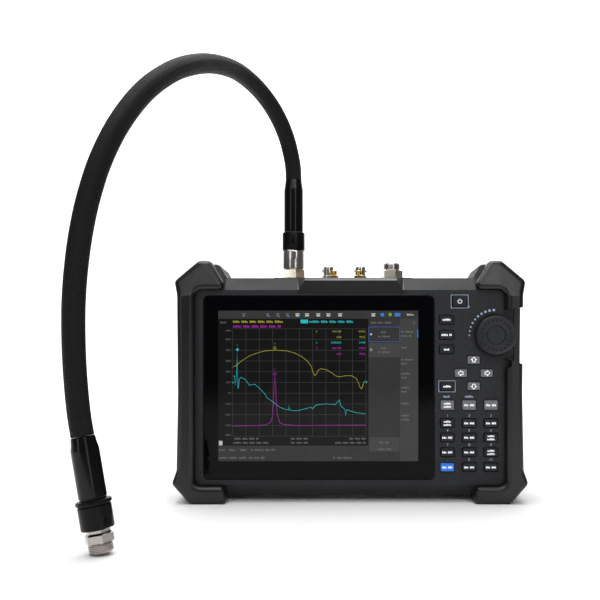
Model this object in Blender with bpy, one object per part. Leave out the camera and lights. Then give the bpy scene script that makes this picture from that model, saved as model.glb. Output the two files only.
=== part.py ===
"""Handheld RF spectrum and network analyzer with an armoured test cable on its first port.

Axes: +X to the right of the person who reads the screen, +Y away from them, +Z up. The instrument
stands on its rubber bumpers; the origin is the middle of its footprint, on the surface it stands on.
Lengths are written in millimetres and scaled by MM, so the scene itself is in metres.
"""

import math

import bmesh
import bpy
from mathutils import Matrix, Vector

MM = 0.001
GAP = 0.3                    # left between neighbouring pieces

# Instrument, front to back
BUMPER_FRONT, BUMPER_BACK = -38.0, 38.0
PANEL_Y = -29.5              # front face of the front panel
PANEL_WALL = 3.0
SHOULDER_Y = -18.0           # where the chamfer round the panel ends
PARTING_Y = -8.0             # joint between the two case shells
CASE_BACK = 33.0
WALL = 2.5

# Instrument, side to side and bottom to top
CASE_HALF = 142.6
CASE_TOP, CASE_BOTTOM = 193.3, 4.8
PANEL_HALF, PANEL_TOP, PANEL_BOTTOM = 139.2, 181.8, 15.4

# Display
GLASS_X, GLASS_Z = (-125.4, 72.0), (20.0, 177.0)
GLASS_PROUD, GLASS_THICK = 0.5, 1.8
WINDOW_X, WINDOW_Z = (-118.5, 64.5), (29.5, 170.5)

# Knob
KNOB_X, KNOB_Z = 123.5, 143.0
KNOB_R, KNOB_WELL_R = 16.8, 18.0
KNOB_FRONT, KNOB_BACK = -38.0, -29.3
KNOB_TRAVEL = 0.6

# Keys: name, x, z, width, height
KEY_PROUD, KEY_TRAVEL, KEY_FLANGE = 1.4, 1.0, 0.8
MENU_COLUMN = 82.4
PAD_COLUMNS = (83.0, 101.6, 120.2)
PAD_ROWS = (("function", 83.5), ("top", 68.1), ("upper", 55.8), ("lower", 43.3), ("bottom", 30.5))
SIDE_NAMES = ("left", "middle", "right")
KEYS = [
    ("key_power", 93.6, 172.0, 12.8, 9.3),
    ("key_measure", MENU_COLUMN, 156.4, 12.7, 7.6),
    ("key_format", MENU_COLUMN, 143.4, 12.7, 7.6),
    ("key_calibrate", MENU_COLUMN, 131.0, 12.7, 7.6),
    ("key_lock", 82.8, 99.5, 12.2, 7.6),
    ("key_arrow_up", 105.5, 122.0, 11.1, 7.1),
    ("key_arrow_left", 94.6, 110.8, 11.1, 7.1),
    ("key_arrow_right", 116.7, 110.8, 11.1, 7.1),
    ("key_arrow_down", 105.5, 99.7, 11.1, 7.1),
]
KEYS += [
    (f"key_{row}_{side}", x, z, 12.1, 8.8 if row == "function" else 7.6)
    for row, z in PAD_ROWS
    for side, x in zip(SIDE_NAMES, PAD_COLUMNS)
]

# Top connectors: x and y of each axis
PORT_Y = 10.5
PORT_1_X, PORT_2_X = -51.0, 38.2
BNC_X = (-19.4, 9.8)
SMA_X, SMA_Y = (-14.4, 7.9), 0.0
PLATE_TOP = 195.1
N_THREAD_R = 7.9             # 5/8-24 thread

# Rear
STAND_HINGE_Y, STAND_HINGE_Z = 35.4, 122.0
STAND_HALF, STAND_BARREL = 58.0, 46.5
FAN_X, FAN_Z, FAN_SIDE = 84.0, 146.0, 40.0

# Port door in the left bumper
DOOR_Y, DOOR_Z = (-13.6, 19.6), (62.4, 131.6)
IO_Y = 5.5

# Test cable: the tube's centreline, from the sleeve at port 1 to the sleeve above the far connector
CABLE_R = 7.25
CABLE_ROUTE = [
    (-51.0, 10.5, 285.5), (-52.2, 10.3, 302.0), (-57.5, 4.0, 324.0), (-66.6, -9.5, 342.0),
    (-78.5, -30.0, 353.5), (-92.6, -59.0, 356.5), (-106.0, -97.0, 346.5), (-118.8, -132.0, 329.6),
    (-130.0, -154.5, 312.0), (-140.0, -170.0, 293.5), (-149.8, -182.0, 270.7), (-157.7, -189.0, 247.8),
    (-163.6, -192.6, 225.0), (-168.0, -194.0, 202.7), (-171.3, -193.7, 180.0), (-173.4, -192.5, 157.7),
    (-174.2, -190.6, 135.0), (-173.8, -188.9, 112.0), (-172.0, -188.0, 89.2), (-169.63, -188.0, 74.2),
]
FAR_SLEEVE, FAR_TIP = 38.7, (-157.5, -188.0, 1.5)

# Colour, roughness, metallic
MATERIALS = {
    "case_plastic": ((0.035, 0.038, 0.042), 0.62, 0.0),
    "bumper_rubber": ((0.030, 0.032, 0.034), 0.78, 0.0),
    "badge_plastic": ((0.022, 0.023, 0.025), 0.5, 0.0),
    "display_glass": ((0.008, 0.008, 0.010), 0.12, 0.0),
    "screen": ((0.013, 0.013, 0.014), 0.4, 0.0),
    "key_dark": ((0.022, 0.025, 0.030), 0.55, 0.0),
    "key_grey": ((0.18, 0.185, 0.20), 0.55, 0.0),
    "key_blue": ((0.045, 0.22, 0.82), 0.45, 0.0),
    "knob_plastic": ((0.040, 0.042, 0.045), 0.6, 0.0),
    "led_lens": ((0.55, 0.60, 0.65), 0.3, 0.0),
    "nickel": ((0.62, 0.60, 0.56), 0.25, 1.0),
    "gold": ((0.83, 0.62, 0.28), 0.25, 1.0),
    "sleeve_plastic": ((0.010, 0.010, 0.011), 0.3, 0.0),
    "cable_braid": ((0.012, 0.012, 0.013), 0.6, 0.0),
    "silicone": ((0.25, 0.26, 0.27), 0.7, 0.0),
    "circuit_board": ((0.02, 0.12, 0.05), 0.5, 0.0),
    "shield_can": ((0.60, 0.61, 0.62), 0.35, 1.0),
    "battery_wrap": ((0.02, 0.02, 0.025), 0.5, 0.0),
    "fan_plastic": ((0.015, 0.015, 0.016), 0.5, 0.0),
    "screw_steel": ((0.08, 0.08, 0.085), 0.35, 1.0),
}
SMOOTH_BELOW = math.radians(35)


# ---------------------------------------------------------------- outlines and solids

def rounded(corners, inset=0.0, steps=2):
    """The outline through corners (x, z, radius), moved inwards by inset, each corner an arc."""
    count = len(corners)
    flat = [Vector((x, z)) for x, z, _ in corners]
    area = sum(a.x * b.y - b.x * a.y for a, b in zip(flat, flat[1:] + flat[:1]))
    turn = 1 if area > 0 else -1
    along = [(flat[(i + 1) % count] - flat[i]).normalized() for i in range(count)]
    inward = [Vector((-d.y, d.x)) * turn for d in along]
    moved = []
    for i in range(count):
        n0, n1 = inward[i - 1], inward[i]
        moved.append(flat[i] + (n0 + n1) * (inset / (1 + n0.dot(n1))))
    outline = []
    for i in range(count):
        before, after = along[i - 1], along[i]
        bend = before.angle_signed(after, 0.0) * -turn
        radius = max(corners[i][2] + (inset if bend < 0 else -inset), 0.4)
        reach = radius * math.tan(abs(bend) / 2)
        start = moved[i] - before * reach
        centre = start + inward[i - 1] * (radius if bend > 0 else -radius)
        for step in range(steps + 1):
            part = step / steps
            spoke = (start - centre).copy()
            spoke.rotate(Matrix.Rotation(bend * turn * part, 2))
            outline.append(centre + spoke)
    return outline


def box_corners(x, z, radius=0.0):
    return [(x[0], z[0], radius), (x[1], z[0], radius), (x[1], z[1], radius), (x[0], z[1], radius)]


def mirrored(corners):
    return [(-x, z, r) for x, z, r in reversed(corners)]


def material(name):
    found = bpy.data.materials.get(name)
    if found is None:
        colour, roughness, metallic = MATERIALS[name]
        found = bpy.data.materials.new(name)
        found.use_nodes = True
        shader = found.node_tree.nodes["Principled BSDF"]
        shader.inputs["Base Color"].default_value = (*colour, 1)
        shader.inputs["Roughness"].default_value = roughness
        shader.inputs["Metallic"].default_value = metallic
    return found


def finished(name, mesh, finish, origin=(0, 0, 0)):
    """The mesh bm as a named object whose origin is at a point given in millimetres."""
    bmesh.ops.recalc_face_normals(mesh, faces=mesh.faces)
    if mesh.calc_volume(signed=True) < 0:
        bmesh.ops.reverse_faces(mesh, faces=mesh.faces)
    bmesh.ops.translate(mesh, vec=-Vector(origin), verts=mesh.verts)
    bmesh.ops.scale(mesh, vec=(MM, MM, MM), verts=mesh.verts)
    data = bpy.data.meshes.new(name)
    mesh.to_mesh(data)
    mesh.free()
    data.shade_smooth()
    data.set_sharp_from_angle(angle=SMOOTH_BELOW)
    data.materials.append(material(finish))
    obj = bpy.data.objects.new(name, data)
    obj.location = Vector(origin) * MM
    bpy.context.scene.collection.objects.link(obj)
    return obj


def lofted(rings):
    """A closed solid through rings that have the same number of points."""
    mesh = bmesh.new()
    made = [[mesh.verts.new(p) for p in ring] for ring in rings]
    for low, high in zip(made, made[1:]):
        for i in range(len(low)):
            j = (i + 1) % len(low)
            mesh.faces.new((low[i], low[j], high[j], high[i]))
    mesh.faces.new(made[0])
    mesh.faces.new(list(reversed(made[-1])))
    return mesh


def slab(layers, steps=2):
    """A solid from layers (y, corners, inset), front to back."""
    rings = []
    for y, corners, inset in layers:
        rings.append([(p.x, y, p.y) for p in rounded(corners, inset, steps)])
    return lofted(rings)


def plate(x, y, z, radius=0.0, steps=2):
    """A block with rounded edges along Y."""
    if radius == 0.0:
        mesh = bmesh.new()
        bmesh.ops.create_cube(mesh, size=1)
        size = (x[1] - x[0], y[1] - y[0], z[1] - z[0])
        bmesh.ops.scale(mesh, vec=size, verts=mesh.verts)
        centre = [sum(side) / 2 for side in (x, y, z)]
        bmesh.ops.translate(mesh, vec=centre, verts=mesh.verts)
        return mesh
    corners = box_corners(x, z, radius)
    return slab([(y[0], corners, 0), (y[1], corners, 0)], steps)


def turned(profile, centre=(0, 0, 0), axis=(0, 0, 1), segments=24, turn=0.0):
    """A solid of revolution. profile lists (radius, distance along axis), outer side and bores alike.

    A profile that starts and ends on the axis is closed there; otherwise it is a closed loop, a ring.
    """
    direction = Vector(axis).normalized()
    frame = direction.to_track_quat("Z", "Y").to_matrix().to_4x4()
    place = Matrix.Translation(Vector(centre)) @ frame @ Matrix.Rotation(turn, 4, "Z")
    mesh = bmesh.new()
    rings = []
    for radius, height in profile:
        if radius == 0:
            rings.append([mesh.verts.new(place @ Vector((0, 0, height)))])
            continue
        spokes = [math.tau * i / segments for i in range(segments)]
        rings.append([
            mesh.verts.new(place @ Vector((radius * math.cos(a), radius * math.sin(a), height)))
            for a in spokes
        ])
    pairs = list(zip(rings, rings[1:]))
    if profile[0][0] and profile[-1][0]:
        pairs.append((rings[-1], rings[0]))
    for low, high in pairs:
        for i in range(segments):
            j = (i + 1) % segments
            face = [low[i % len(low)], low[j % len(low)], high[j % len(high)], high[i % len(high)]]
            mesh.faces.new(list(dict.fromkeys(face)))
    return mesh


def joined(*meshes):
    """Several closed shells in one mesh, for a cutter."""
    whole = bmesh.new()
    for mesh in meshes:
        bmesh.ops.recalc_face_normals(mesh, faces=mesh.faces)
        if mesh.calc_volume(signed=True) < 0:
            bmesh.ops.reverse_faces(mesh, faces=mesh.faces)
        data = bpy.data.meshes.new("joined")
        mesh.to_mesh(data)
        mesh.free()
        whole.from_mesh(data)
        bpy.data.meshes.remove(data)
    return whole


def boolean(obj, mesh, operation="DIFFERENCE", name="tool"):
    """Cuts mesh from obj, or joins it on. The tool stays in the scene as a hidden wire helper."""
    tool = finished(f"{obj.name}_{name}", mesh, "case_plastic")
    tool.hide_render = True
    tool.display_type = "WIRE"
    modifier = obj.modifiers.new(name, "BOOLEAN")
    modifier.operation = operation
    modifier.solver = "EXACT"
    modifier.object = tool
    if operation == "DIFFERENCE":
        modifier.use_self = True
    return tool


# ---------------------------------------------------------------- case outlines

def case_corners(front=False):
    """Half outline of the case mirrored to a whole one: shoulders at the top, feet at the bottom.

    The front version is the flat panel's plain rectangle, with the same number of corners.
    """
    if front:
        left = [
            (-107.2, PANEL_TOP, 3), (-114.5, PANEL_TOP, 3), (-131.0, PANEL_TOP, 3),
            (-PANEL_HALF, PANEL_TOP - 7, 4), (-PANEL_HALF, PANEL_BOTTOM + 7, 4),
            (-132.0, PANEL_BOTTOM, 3), (-105.5, PANEL_BOTTOM, 1.5), (-101.0, PANEL_BOTTOM, 1.5),
        ]
    else:
        left = [
            (-107.2, CASE_TOP, 3), (-113.6, 204.8, 3), (-128.3, 204.8, 4), (-CASE_HALF, 192.2, 4),
            (-CASE_HALF, 11.0, 4), (-134.3, 2.6, 3), (-104.5, 2.6, 1.5), (-101.5, CASE_BOTTOM, 1.5),
        ]
    return left + mirrored(left)


def case_solid(front, back, grow=0.0):
    """The filled outer shape of the case between two depths, grown by a little on every side."""
    full, face = case_corners(), case_corners(front=True)
    layers = []
    if front < SHOULDER_Y:
        layers += [(front - grow, face, -grow), (SHOULDER_Y, full, -grow)]
    else:
        layers += [(front - grow, full, -grow)]
    if back > CASE_BACK - 6:
        layers += [(CASE_BACK - 6, full, -grow), (CASE_BACK - 1.5, full, 1.6 - grow)]
        layers += [(back + grow, full, 4.0 - grow)]
    else:
        layers += [(back + grow, full, -grow)]
    return slab(layers)


def case_hollow(front, back):
    """The space inside the shells: a plain rounded block, clear of shoulders and feet."""
    corners = box_corners((-CASE_HALF + WALL, CASE_HALF - WALL), (CASE_BOTTOM + WALL, CASE_TOP - WALL), 5)
    panel = box_corners(
        (-PANEL_HALF + WALL, PANEL_HALF - WALL), (PANEL_BOTTOM + WALL, PANEL_TOP - WALL), 5
    )
    if front < SHOULDER_Y:
        return slab([(front, panel, 0), (SHOULDER_Y + 1, corners, 0), (back, corners, 0)])
    return slab([(front, corners, 0), (back - 3, corners, 0), (back, corners, 3)])


# ---------------------------------------------------------------- housing

def knob_axis_disc(radius, front, back, segments=40):
    profile = [(0, 0), (radius, 0), (radius, back - front), (0, back - front)]
    return turned(profile, (KNOB_X, front, KNOB_Z), (0, 1, 0), segments)


def make_front_case():
    case = finished("front_case", case_solid(PANEL_Y, PARTING_Y - GAP), "case_plastic")
    boolean(case, case_hollow(PANEL_Y + PANEL_WALL, PARTING_Y + 5), name="hollow")
    glass = box_corners(GLASS_X, GLASS_Z, 4)
    rebate_floor = PANEL_Y - GLASS_PROUD + GLASS_THICK + GAP
    rebate = slab([(PANEL_Y - 5, glass, -GAP), (rebate_floor, glass, -GAP)])
    window = box_corners(WINDOW_X, WINDOW_Z, 1)
    through = slab([(PANEL_Y - 4, window, 0), (PANEL_Y + PANEL_WALL + 4, window, 0)])
    well = knob_axis_disc(KNOB_WELL_R, PANEL_Y - 3, PANEL_Y + 1.2)
    bore = knob_axis_disc(4.2, PANEL_Y - 4, PANEL_Y + PANEL_WALL + 4, 24)
    lamp = turned([(0, 0), (1.2, 0), (1.2, 12), (0, 12)], (101.2, PANEL_Y - 4, 167.5), (0, 1, 0), 12)
    boolean(case, rebate, name="glass_rebate")
    boolean(case, through, name="window")
    boolean(case, well, name="knob_well")
    boolean(case, bore, name="knob_bore")
    holes = [lamp]
    for _, x, z, width, height in KEYS:
        hole = box_corners((x - width / 2, x + width / 2), (z - height / 2, z + height / 2), 0.9)
        holes.append(slab([(PANEL_Y - 4, hole, -GAP), (PANEL_Y + PANEL_WALL + 4, hole, -GAP)], 2))
    boolean(case, joined(*holes), name="key_holes")


def make_rear_case():
    case = finished("rear_case", case_solid(PARTING_Y, CASE_BACK), "case_plastic")
    boolean(case, case_hollow(PARTING_Y - 5, CASE_BACK - WALL), name="hollow")
    boolean(case, plate((-62, 50), (-4.5, 19), (CASE_TOP - 10, CASE_TOP + 5)), name="connector_window")
    boolean(case, plate((-CASE_HALF - 9, -CASE_HALF + 9), (-4.5, 15.5), (66.0, 128.0)), name="port_bay")
    boolean(case, plate((-54, 54), (20, 40), (34, 106), 4), name="battery_hatch")
    slots = [
        plate((FAN_X - 17, FAN_X + 17), (20, 40), (z - 1.3, z + 1.3), 1.2)
        for z in [FAN_Z - 15 + 5 * i for i in range(7)]
    ]
    intake = [
        plate((x - 1.3, x + 1.3), (20, 40), (132, 162), 1.2)
        for x in [-98 + 5 * i for i in range(7)]
    ]
    boolean(case, joined(*slots, *intake), name="vents")
    lugs, bores = [], []
    for side in (-1, 1):
        near, far = sorted((side * (STAND_BARREL + 0.4), side * (STAND_BARREL + 6)))
        lugs.append(plate((near, far), (CASE_BACK - 1, 37.8), (STAND_HINGE_Z - 3.6, STAND_HINGE_Z + 4.5)))
        start = (side * (STAND_BARREL - 5), STAND_HINGE_Y, STAND_HINGE_Z)
        bores.append(turned([(0, 0), (1.65, 0), (1.65, 9.6), (0, 9.6)], start, (side, 0, 0), 16))
    boolean(case, joined(*lugs), "UNION", "hinge_lugs")
    boolean(case, joined(*bores), name="hinge_bores")


def bumper_corners(lift):
    """Outline of the left bumper, a C that grips two corners. lift raises its top, towards the back."""
    top = 207.6 + lift
    return [
        (-119.8, top, 5), (-130.1 - lift, top, 7), (-150.7, 189.5, 5), (-146.7, 176.5, 12),
        (-146.0, 94.0, 30), (-147.2, 28.3, 6), (-151.2, 17.0, 4.5), (-136.0, 0.0, 5.5),
        (-104.8, 0.0, 3.2), (-106.4, 15.0, 4.5), (-132.0, 15.0, 6.5), (-132.0, 181.5, 6),
        (-103.9, 181.5, 4.8),
    ]


def bumper_solid(side):
    flip = mirrored if side > 0 else list
    front, back = flip(bumper_corners(0)), flip(bumper_corners(2.8))
    return slab([
        (BUMPER_FRONT, front, 3.4), (BUMPER_FRONT + 0.8, front, 1.7), (BUMPER_FRONT + 2.4, front, 0.5),
        (BUMPER_FRONT + 4.6, front, 0), (8, front, 0), (20, back, 0), (BUMPER_BACK - 3.5, back, 0),
        (BUMPER_BACK - 1, back, 1.0), (BUMPER_BACK, back, 2.8),
    ], 3)


def make_bumpers():
    for name, side in (("left_bumper", -1), ("right_bumper", 1)):
        bumper = finished(name, bumper_solid(side), "bumper_rubber")
        boolean(bumper, rail_step(side), name="rail_step")
        boolean(bumper, case_solid(PANEL_Y, CASE_BACK, 2 * GAP), name="case")
        if side < 0:
            door = plate((-160, -140), (DOOR_Y[0] - 0.4, DOOR_Y[1] + 0.4), (DOOR_Z[0] - 0.4, DOOR_Z[1] + 0.4))
            boolean(bumper, door, name="door_window")
        else:
            boolean(bumper, knob_relief(), name="knob_relief")
            boolean(bumper, finger_scoop(), name="finger_scoop")


def knob_relief():
    """Room for the knob in the right bumper: a step back, with a slanting upper end and a scoop below."""
    low, high, back = 120.0, 163.4, -24.5
    profile = [(128.0, low), (170.0, low), (170.0, high + 7.6), (128.0, high)]
    return lofted([[(x, y, z) for x, z in profile] for y in (BUMPER_FRONT - 5, back)])


def finger_scoop():
    return turned([(0, 0), (3.6, 0), (3.6, 16), (0, 16)], (133.0, BUMPER_FRONT - 5, 119.0), (0, 1, 0), 20)


def rail_step(side):
    """What a bumper's front loses so that its rail lies lower than its corner pads."""
    depth, low, high = 1.4, 24.0, 176.0
    profile = [
        (BUMPER_FRONT - 5, low - 12), (BUMPER_FRONT - 5, high + 14), (BUMPER_FRONT, high + 4),
        (BUMPER_FRONT + depth, high), (BUMPER_FRONT + depth, low + 4), (BUMPER_FRONT, low),
    ]
    tilt = 6.0
    rings = []
    for x in (-160.0, -120.0):
        lean = tilt if x < -140 else -tilt
        rings.append([
            (-x if side > 0 else x, y, z + (lean if z > 100 else 0)) for y, z in profile
        ])
    return lofted(rings)


def make_badge():
    """Blank wedge on the top chamfer, with flat slanting ends. Its front stands just proud of the panel."""
    centre, wide, narrow = 0.6, 45.4, 39.0
    low, brow, top = 179.6, 189.8, CASE_TOP + GAP
    front, back = PANEL_Y - GAP - 0.7, PANEL_Y - GAP
    end = SHOULDER_Y - 0.9
    upwards = (narrow - wide) / (brow - low)
    inwards = (narrow - wide - upwards * (top - low)) / (end - front)
    outer = [(front, low), (front, brow), (-27.5, 192.3), (end, top)]
    inner = [(back, low), (back, PANEL_TOP), (end, top - 0.5)]
    mesh = bmesh.new()
    shell = []
    for side in (-1, 1):
        shell.append([])
        for y, z in outer + inner[::-1]:
            half = wide + upwards * (z - low) + inwards * (y - front)
            shell[-1].append(mesh.verts.new((centre + side * half, y, z)))
    count = len(shell[0])
    for i in range(count):
        j = (i + 1) % count
        mesh.faces.new((shell[0][i], shell[0][j], shell[1][j], shell[1][i]))
    for side in shell:
        mesh.faces.new(side)
    finished("name_plate", mesh, "badge_plastic")


# ---------------------------------------------------------------- display, keys and knob

def make_display():
    front = PANEL_Y - GLASS_PROUD
    glass = box_corners(GLASS_X, GLASS_Z, 4)
    layers = [(front, glass, 0.3), (front + 0.3, glass, 0), (front + GLASS_THICK, glass, 0)]
    finished("display_glass", slab(layers), "display_glass")
    x = (WINDOW_X[0] + 0.5, WINDOW_X[1] - 0.5)
    z = (WINDOW_Z[0] + 0.5, WINDOW_Z[1] - 0.5)
    back = front + GLASS_THICK + GAP
    finished("lcd_module", plate(x, (back, back + 7.5), z), "screen")


def key_finish(name):
    if name == "key_bottom_left":
        return "key_blue"
    return "key_grey" if "arrow" in name or "function" in name else "key_dark"


def make_keys():
    """Each key is a cap that stands through the panel, on a flange that keeps it from falling out."""
    panel_back = PANEL_Y + PANEL_WALL
    front, flange_front, back = PANEL_Y - KEY_PROUD, panel_back + GAP, panel_back + GAP + 1.0
    for name, x, z, width, height in KEYS:
        cap = box_corners((x - width / 2, x + width / 2), (z - height / 2, z + height / 2), 0.9)
        finished(name, slab([
            (front, cap, 0.5), (front + 0.4, cap, 0.05), (front + 0.8, cap, 0),
            (flange_front, cap, 0), (flange_front + 0.05, cap, -KEY_FLANGE), (back, cap, -KEY_FLANGE),
        ], 2), key_finish(name), (x, back, z))


def make_keypad():
    membrane_front = PANEL_Y + PANEL_WALL + GAP + 1.0 + KEY_TRAVEL + 0.5
    outline = [
        (73.5, 22.5, 2), (131.0, 22.5, 2), (131.0, 118.5, 2), (126.0, 121.5, 2), (112.0, 129.5, 2),
        (104.0, 133.0, 2), (104.0, 179.0, 2), (73.5, 179.0, 2),
    ]
    membrane = slab([(membrane_front, outline, 0), (membrane_front + 1.2, outline, 0)])
    finished("key_membrane", membrane, "silicone")
    board_front = -20.6
    blank = plate((73, 135), (board_front, board_front + 1.6), (19, 178))
    board = finished("keypad_board", blank, "circuit_board")
    notch = knob_axis_disc(4.5, board_front - 4, board_front + 6, 20)
    boolean(board, notch, name="shaft_clearance")


def make_encoder():
    """The knob turns on the plunger, and the plunger slides in the encoder body as a push switch."""
    body_front, body_back = -26.0, -20.9
    body = plate((KNOB_X - 7, KNOB_X + 7), (body_front, body_back), (KNOB_Z - 7, KNOB_Z + 7), 0.8)
    encoder = finished("encoder_body", body, "shield_can")
    boolean(encoder, knob_axis_disc(3.4, body_front - 4, body_back - 1.4, 24), name="bore")
    plunger_back = body_back - 1.4 - KNOB_TRAVEL - 0.9
    plunger_front = KNOB_FRONT + 2.4
    plunger_profile = [
        (0, plunger_front), (2.6, plunger_front), (3.0, plunger_front + 0.4), (3.0, plunger_back),
        (0, plunger_back),
    ]
    plunger = turned(plunger_profile, (KNOB_X, 0, KNOB_Z), (0, 1, 0), 24)
    finished("encoder_plunger", plunger, "nickel", (KNOB_X, PANEL_Y, KNOB_Z))
    knob_profile = [
        (0, KNOB_FRONT + 0.5), (7.3, KNOB_FRONT + 0.5), (7.7, KNOB_FRONT + 0.9), (8.1, KNOB_FRONT + 0.6),
        (14.6, KNOB_FRONT + 0.7), (15.3, KNOB_FRONT), (16.2, KNOB_FRONT + 0.3), (KNOB_R, KNOB_FRONT + 1.3),
        (KNOB_R, KNOB_BACK - 0.8), (16.2, KNOB_BACK), (3.3, KNOB_BACK), (3.3, plunger_front - GAP),
        (0, plunger_front - GAP),
    ]
    knob = turned(knob_profile, (KNOB_X, 0, KNOB_Z), (0, 1, 0), 36)
    finished("jog_knob", knob, "knob_plastic", (KNOB_X, KNOB_FRONT, KNOB_Z))
    lamp = turned([(0, 0), (0.9, 0), (0.9, 3.0), (0, 3.0)], (101.2, PANEL_Y - 0.1, 167.5), (0, 1, 0), 12)
    finished("power_lamp", lamp, "led_lens")


# ---------------------------------------------------------------- connectors

def hexagon_base(across_flats, low, high, x, y):
    """A hexagon with two faces square to Y, and its corners taken off at the top."""
    corner = across_flats / math.sqrt(3)
    profile = [(0, low), (corner, low), (corner, high - 0.8), (corner - 0.9, high), (0, high)]
    return turned(profile, (x, y, 0), (0, 0, 1), 6, math.radians(30))


def make_port(name, x, hex_flats, hex_top, thread_top, bore_depth):
    """N type: hexagon, threaded barrel and a shank through the plate."""
    port = finished(name, hexagon_base(hex_flats, PLATE_TOP + GAP, hex_top, x, PORT_Y), "nickel")
    barrel = turned([
        (0, hex_top - 2), (N_THREAD_R - 0.5, hex_top - 2), (N_THREAD_R - 0.5, hex_top + 0.6),
        (N_THREAD_R, hex_top + 1.2), (N_THREAD_R, thread_top - 0.6), (N_THREAD_R - 0.6, thread_top),
        (0, thread_top),
    ], (x, PORT_Y, 0))
    shank_top = PLATE_TOP + 3
    shank = turned([(0, 184), (5.0, 184), (5.0, shank_top), (0, shank_top)], (x, PORT_Y, 0), segments=24)
    boolean(port, barrel, "UNION", "barrel")
    boolean(port, shank, "UNION", "shank")
    floor, above = thread_top - bore_depth, thread_top + 4
    socket = turned([(0, floor), (4.4, floor), (4.4, above), (0, above)], (x, PORT_Y, 0), segments=24)
    boolean(port, socket, name="socket")


def make_bnc(name, x):
    top = 206.4
    bnc = finished(name, turned([
        (0, 184), (4.6, 184), (4.6, PLATE_TOP + GAP), (5.8, PLATE_TOP + GAP), (5.8, 198.2), (5.4, 198.8),
        (4.85, 198.8), (4.85, top - 0.5), (4.5, top), (3.9, top), (3.9, top - 3.5), (0, top - 3.5),
    ], (x, PORT_Y, 0), segments=20), "nickel")
    lug = turned([(0, -5.7), (1.0, -5.7), (1.0, 5.7), (0, 5.7)], (x, PORT_Y, 203.2), (1, 0, 0), 12)
    boolean(bnc, lug, "UNION", "lugs")
    mouth = turned([(0, 0), (3.9, 0), (3.9, 6), (0, 6)], (x, PORT_Y, top - 3.5), segments=20)
    boolean(bnc, mouth, name="mouth")


def make_sma(name, x):
    sma = finished(name, turned([
        (0, 186), (2.6, 186), (2.6, PLATE_TOP + 1), (3.175, PLATE_TOP + 1.6), (3.175, 201.6), (2.8, 202),
        (2.3, 202), (2.3, 200.8), (0, 200.8),
    ], (x, SMA_Y, 0), segments=16), "gold")
    boolean(sma, hexagon_base(8, PLATE_TOP + GAP, 197.6, x, SMA_Y), "UNION", "nut")


def make_connectors():
    blank = plate((-67, 55), (-6.5, 21.5), (CASE_TOP + GAP, PLATE_TOP))
    panel = finished("connector_panel", blank, "case_plastic")
    holes = [(PORT_1_X, PORT_Y, 5.3), (PORT_2_X, PORT_Y, 5.3)]
    holes += [(x, PORT_Y, 4.9) for x in BNC_X] + [(x, SMA_Y, 2.9) for x in SMA_X]
    tools = [
        turned([(0, 180), (r, 180), (r, 200), (0, 200)], (x, y, 0), segments=20) for x, y, r in holes
    ]
    boolean(panel, joined(*tools), name="connector_holes")
    make_port("port_1", PORT_1_X, 18.1, 203.9, 213.0, 8.5)
    make_port("port_2", PORT_2_X, 17.6, 203.4, 209.4, 8.5)
    for index, x in enumerate(BNC_X, 1):
        make_bnc(f"bnc_{index}", x)
    for index, x in enumerate(SMA_X, 1):
        make_sma(f"sma_{index}", x)


# ---------------------------------------------------------------- test cable

def smooth_points(route, spacing):
    """Points about spacing apart on the Catmull-Rom curve through route."""
    points = [Vector(p) for p in route]
    points = [points[0] * 2 - points[1], *points, points[-1] * 2 - points[-2]]
    fine = []
    for a, b, c, d in zip(points, points[1:], points[2:], points[3:]):
        for step in range(16):
            t = step / 16
            bend = (a * 2 - b * 5 + c * 4 - d) * t * t + (b * 3 - a - c * 3 + d) * t ** 3
            fine.append((b * 2 + (c - a) * t + bend) / 2)
    fine.append(points[-2])
    total = sum((q - p).length for p, q in zip(fine, fine[1:]))
    count = round(total / spacing)
    chosen, walked, wanted = [fine[0]], 0.0, total / count
    for p, q in zip(fine, fine[1:]):
        walked += (q - p).length
        if walked >= wanted * len(chosen) and len(chosen) < count:
            chosen.append(q)
    return [*chosen, fine[-1]]


def make_cable_tube():
    points = smooth_points(CABLE_ROUTE, 4 * CABLE_R)
    far_axis = (Vector(FAR_TIP) - points[-1]).normalized()
    square_end = CABLE_R / 2
    points.insert(1, points[0] + Vector((0, 0, square_end)))
    points.insert(-1, points[-1] - far_axis * square_end)
    curve = bpy.data.curves.new("test_cable", "CURVE")
    curve.dimensions = "3D"
    curve.bevel_depth = CABLE_R * MM
    curve.bevel_resolution = 4
    curve.use_fill_caps = True
    spline = curve.splines.new("POLY")
    spline.points.add(len(points) - 1)
    for knot, point in zip(spline.points, points):
        knot.co = (*(point * MM), 1)
    curve.materials.append(material("cable_braid"))
    bpy.context.scene.collection.objects.link(bpy.data.objects.new("test_cable", curve))


def make_near_end():
    centre = (PORT_1_X, PORT_Y, 0)
    nut = finished("coupling_nut", turned([
        (8.25, 204.4), (9.3, 204.4), (9.8, 204.9), (9.8, 213.5), (9.2, 214.1), (9.2, 215.4), (9.8, 216),
        (9.8, 220.4), (9.2, 221.0), (6.9, 221.0), (6.9, 216.5), (8.25, 216.5),
    ], segments=28), "nickel")
    nut.location = Vector(centre) * MM
    finished("near_collar", turned([
        (0, 213.4), (6.4, 213.4), (6.4, 221.4), (9.6, 221.4), (10.2, 222.0), (10.2, 236.9), (9.6, 237.5),
        (0, 237.5),
    ], centre, segments=28), "sleeve_plastic")
    top = CABLE_ROUTE[0][2] - GAP
    finished("near_sleeve", turned([
        (0, 237.5 + GAP), (8.65, 237.5 + GAP), (8.65, 276.6), (7.9, 280.5), (7.5, top - 0.4), (7.1, top),
        (0, top),
    ], centre, segments=28), "sleeve_plastic")


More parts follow.
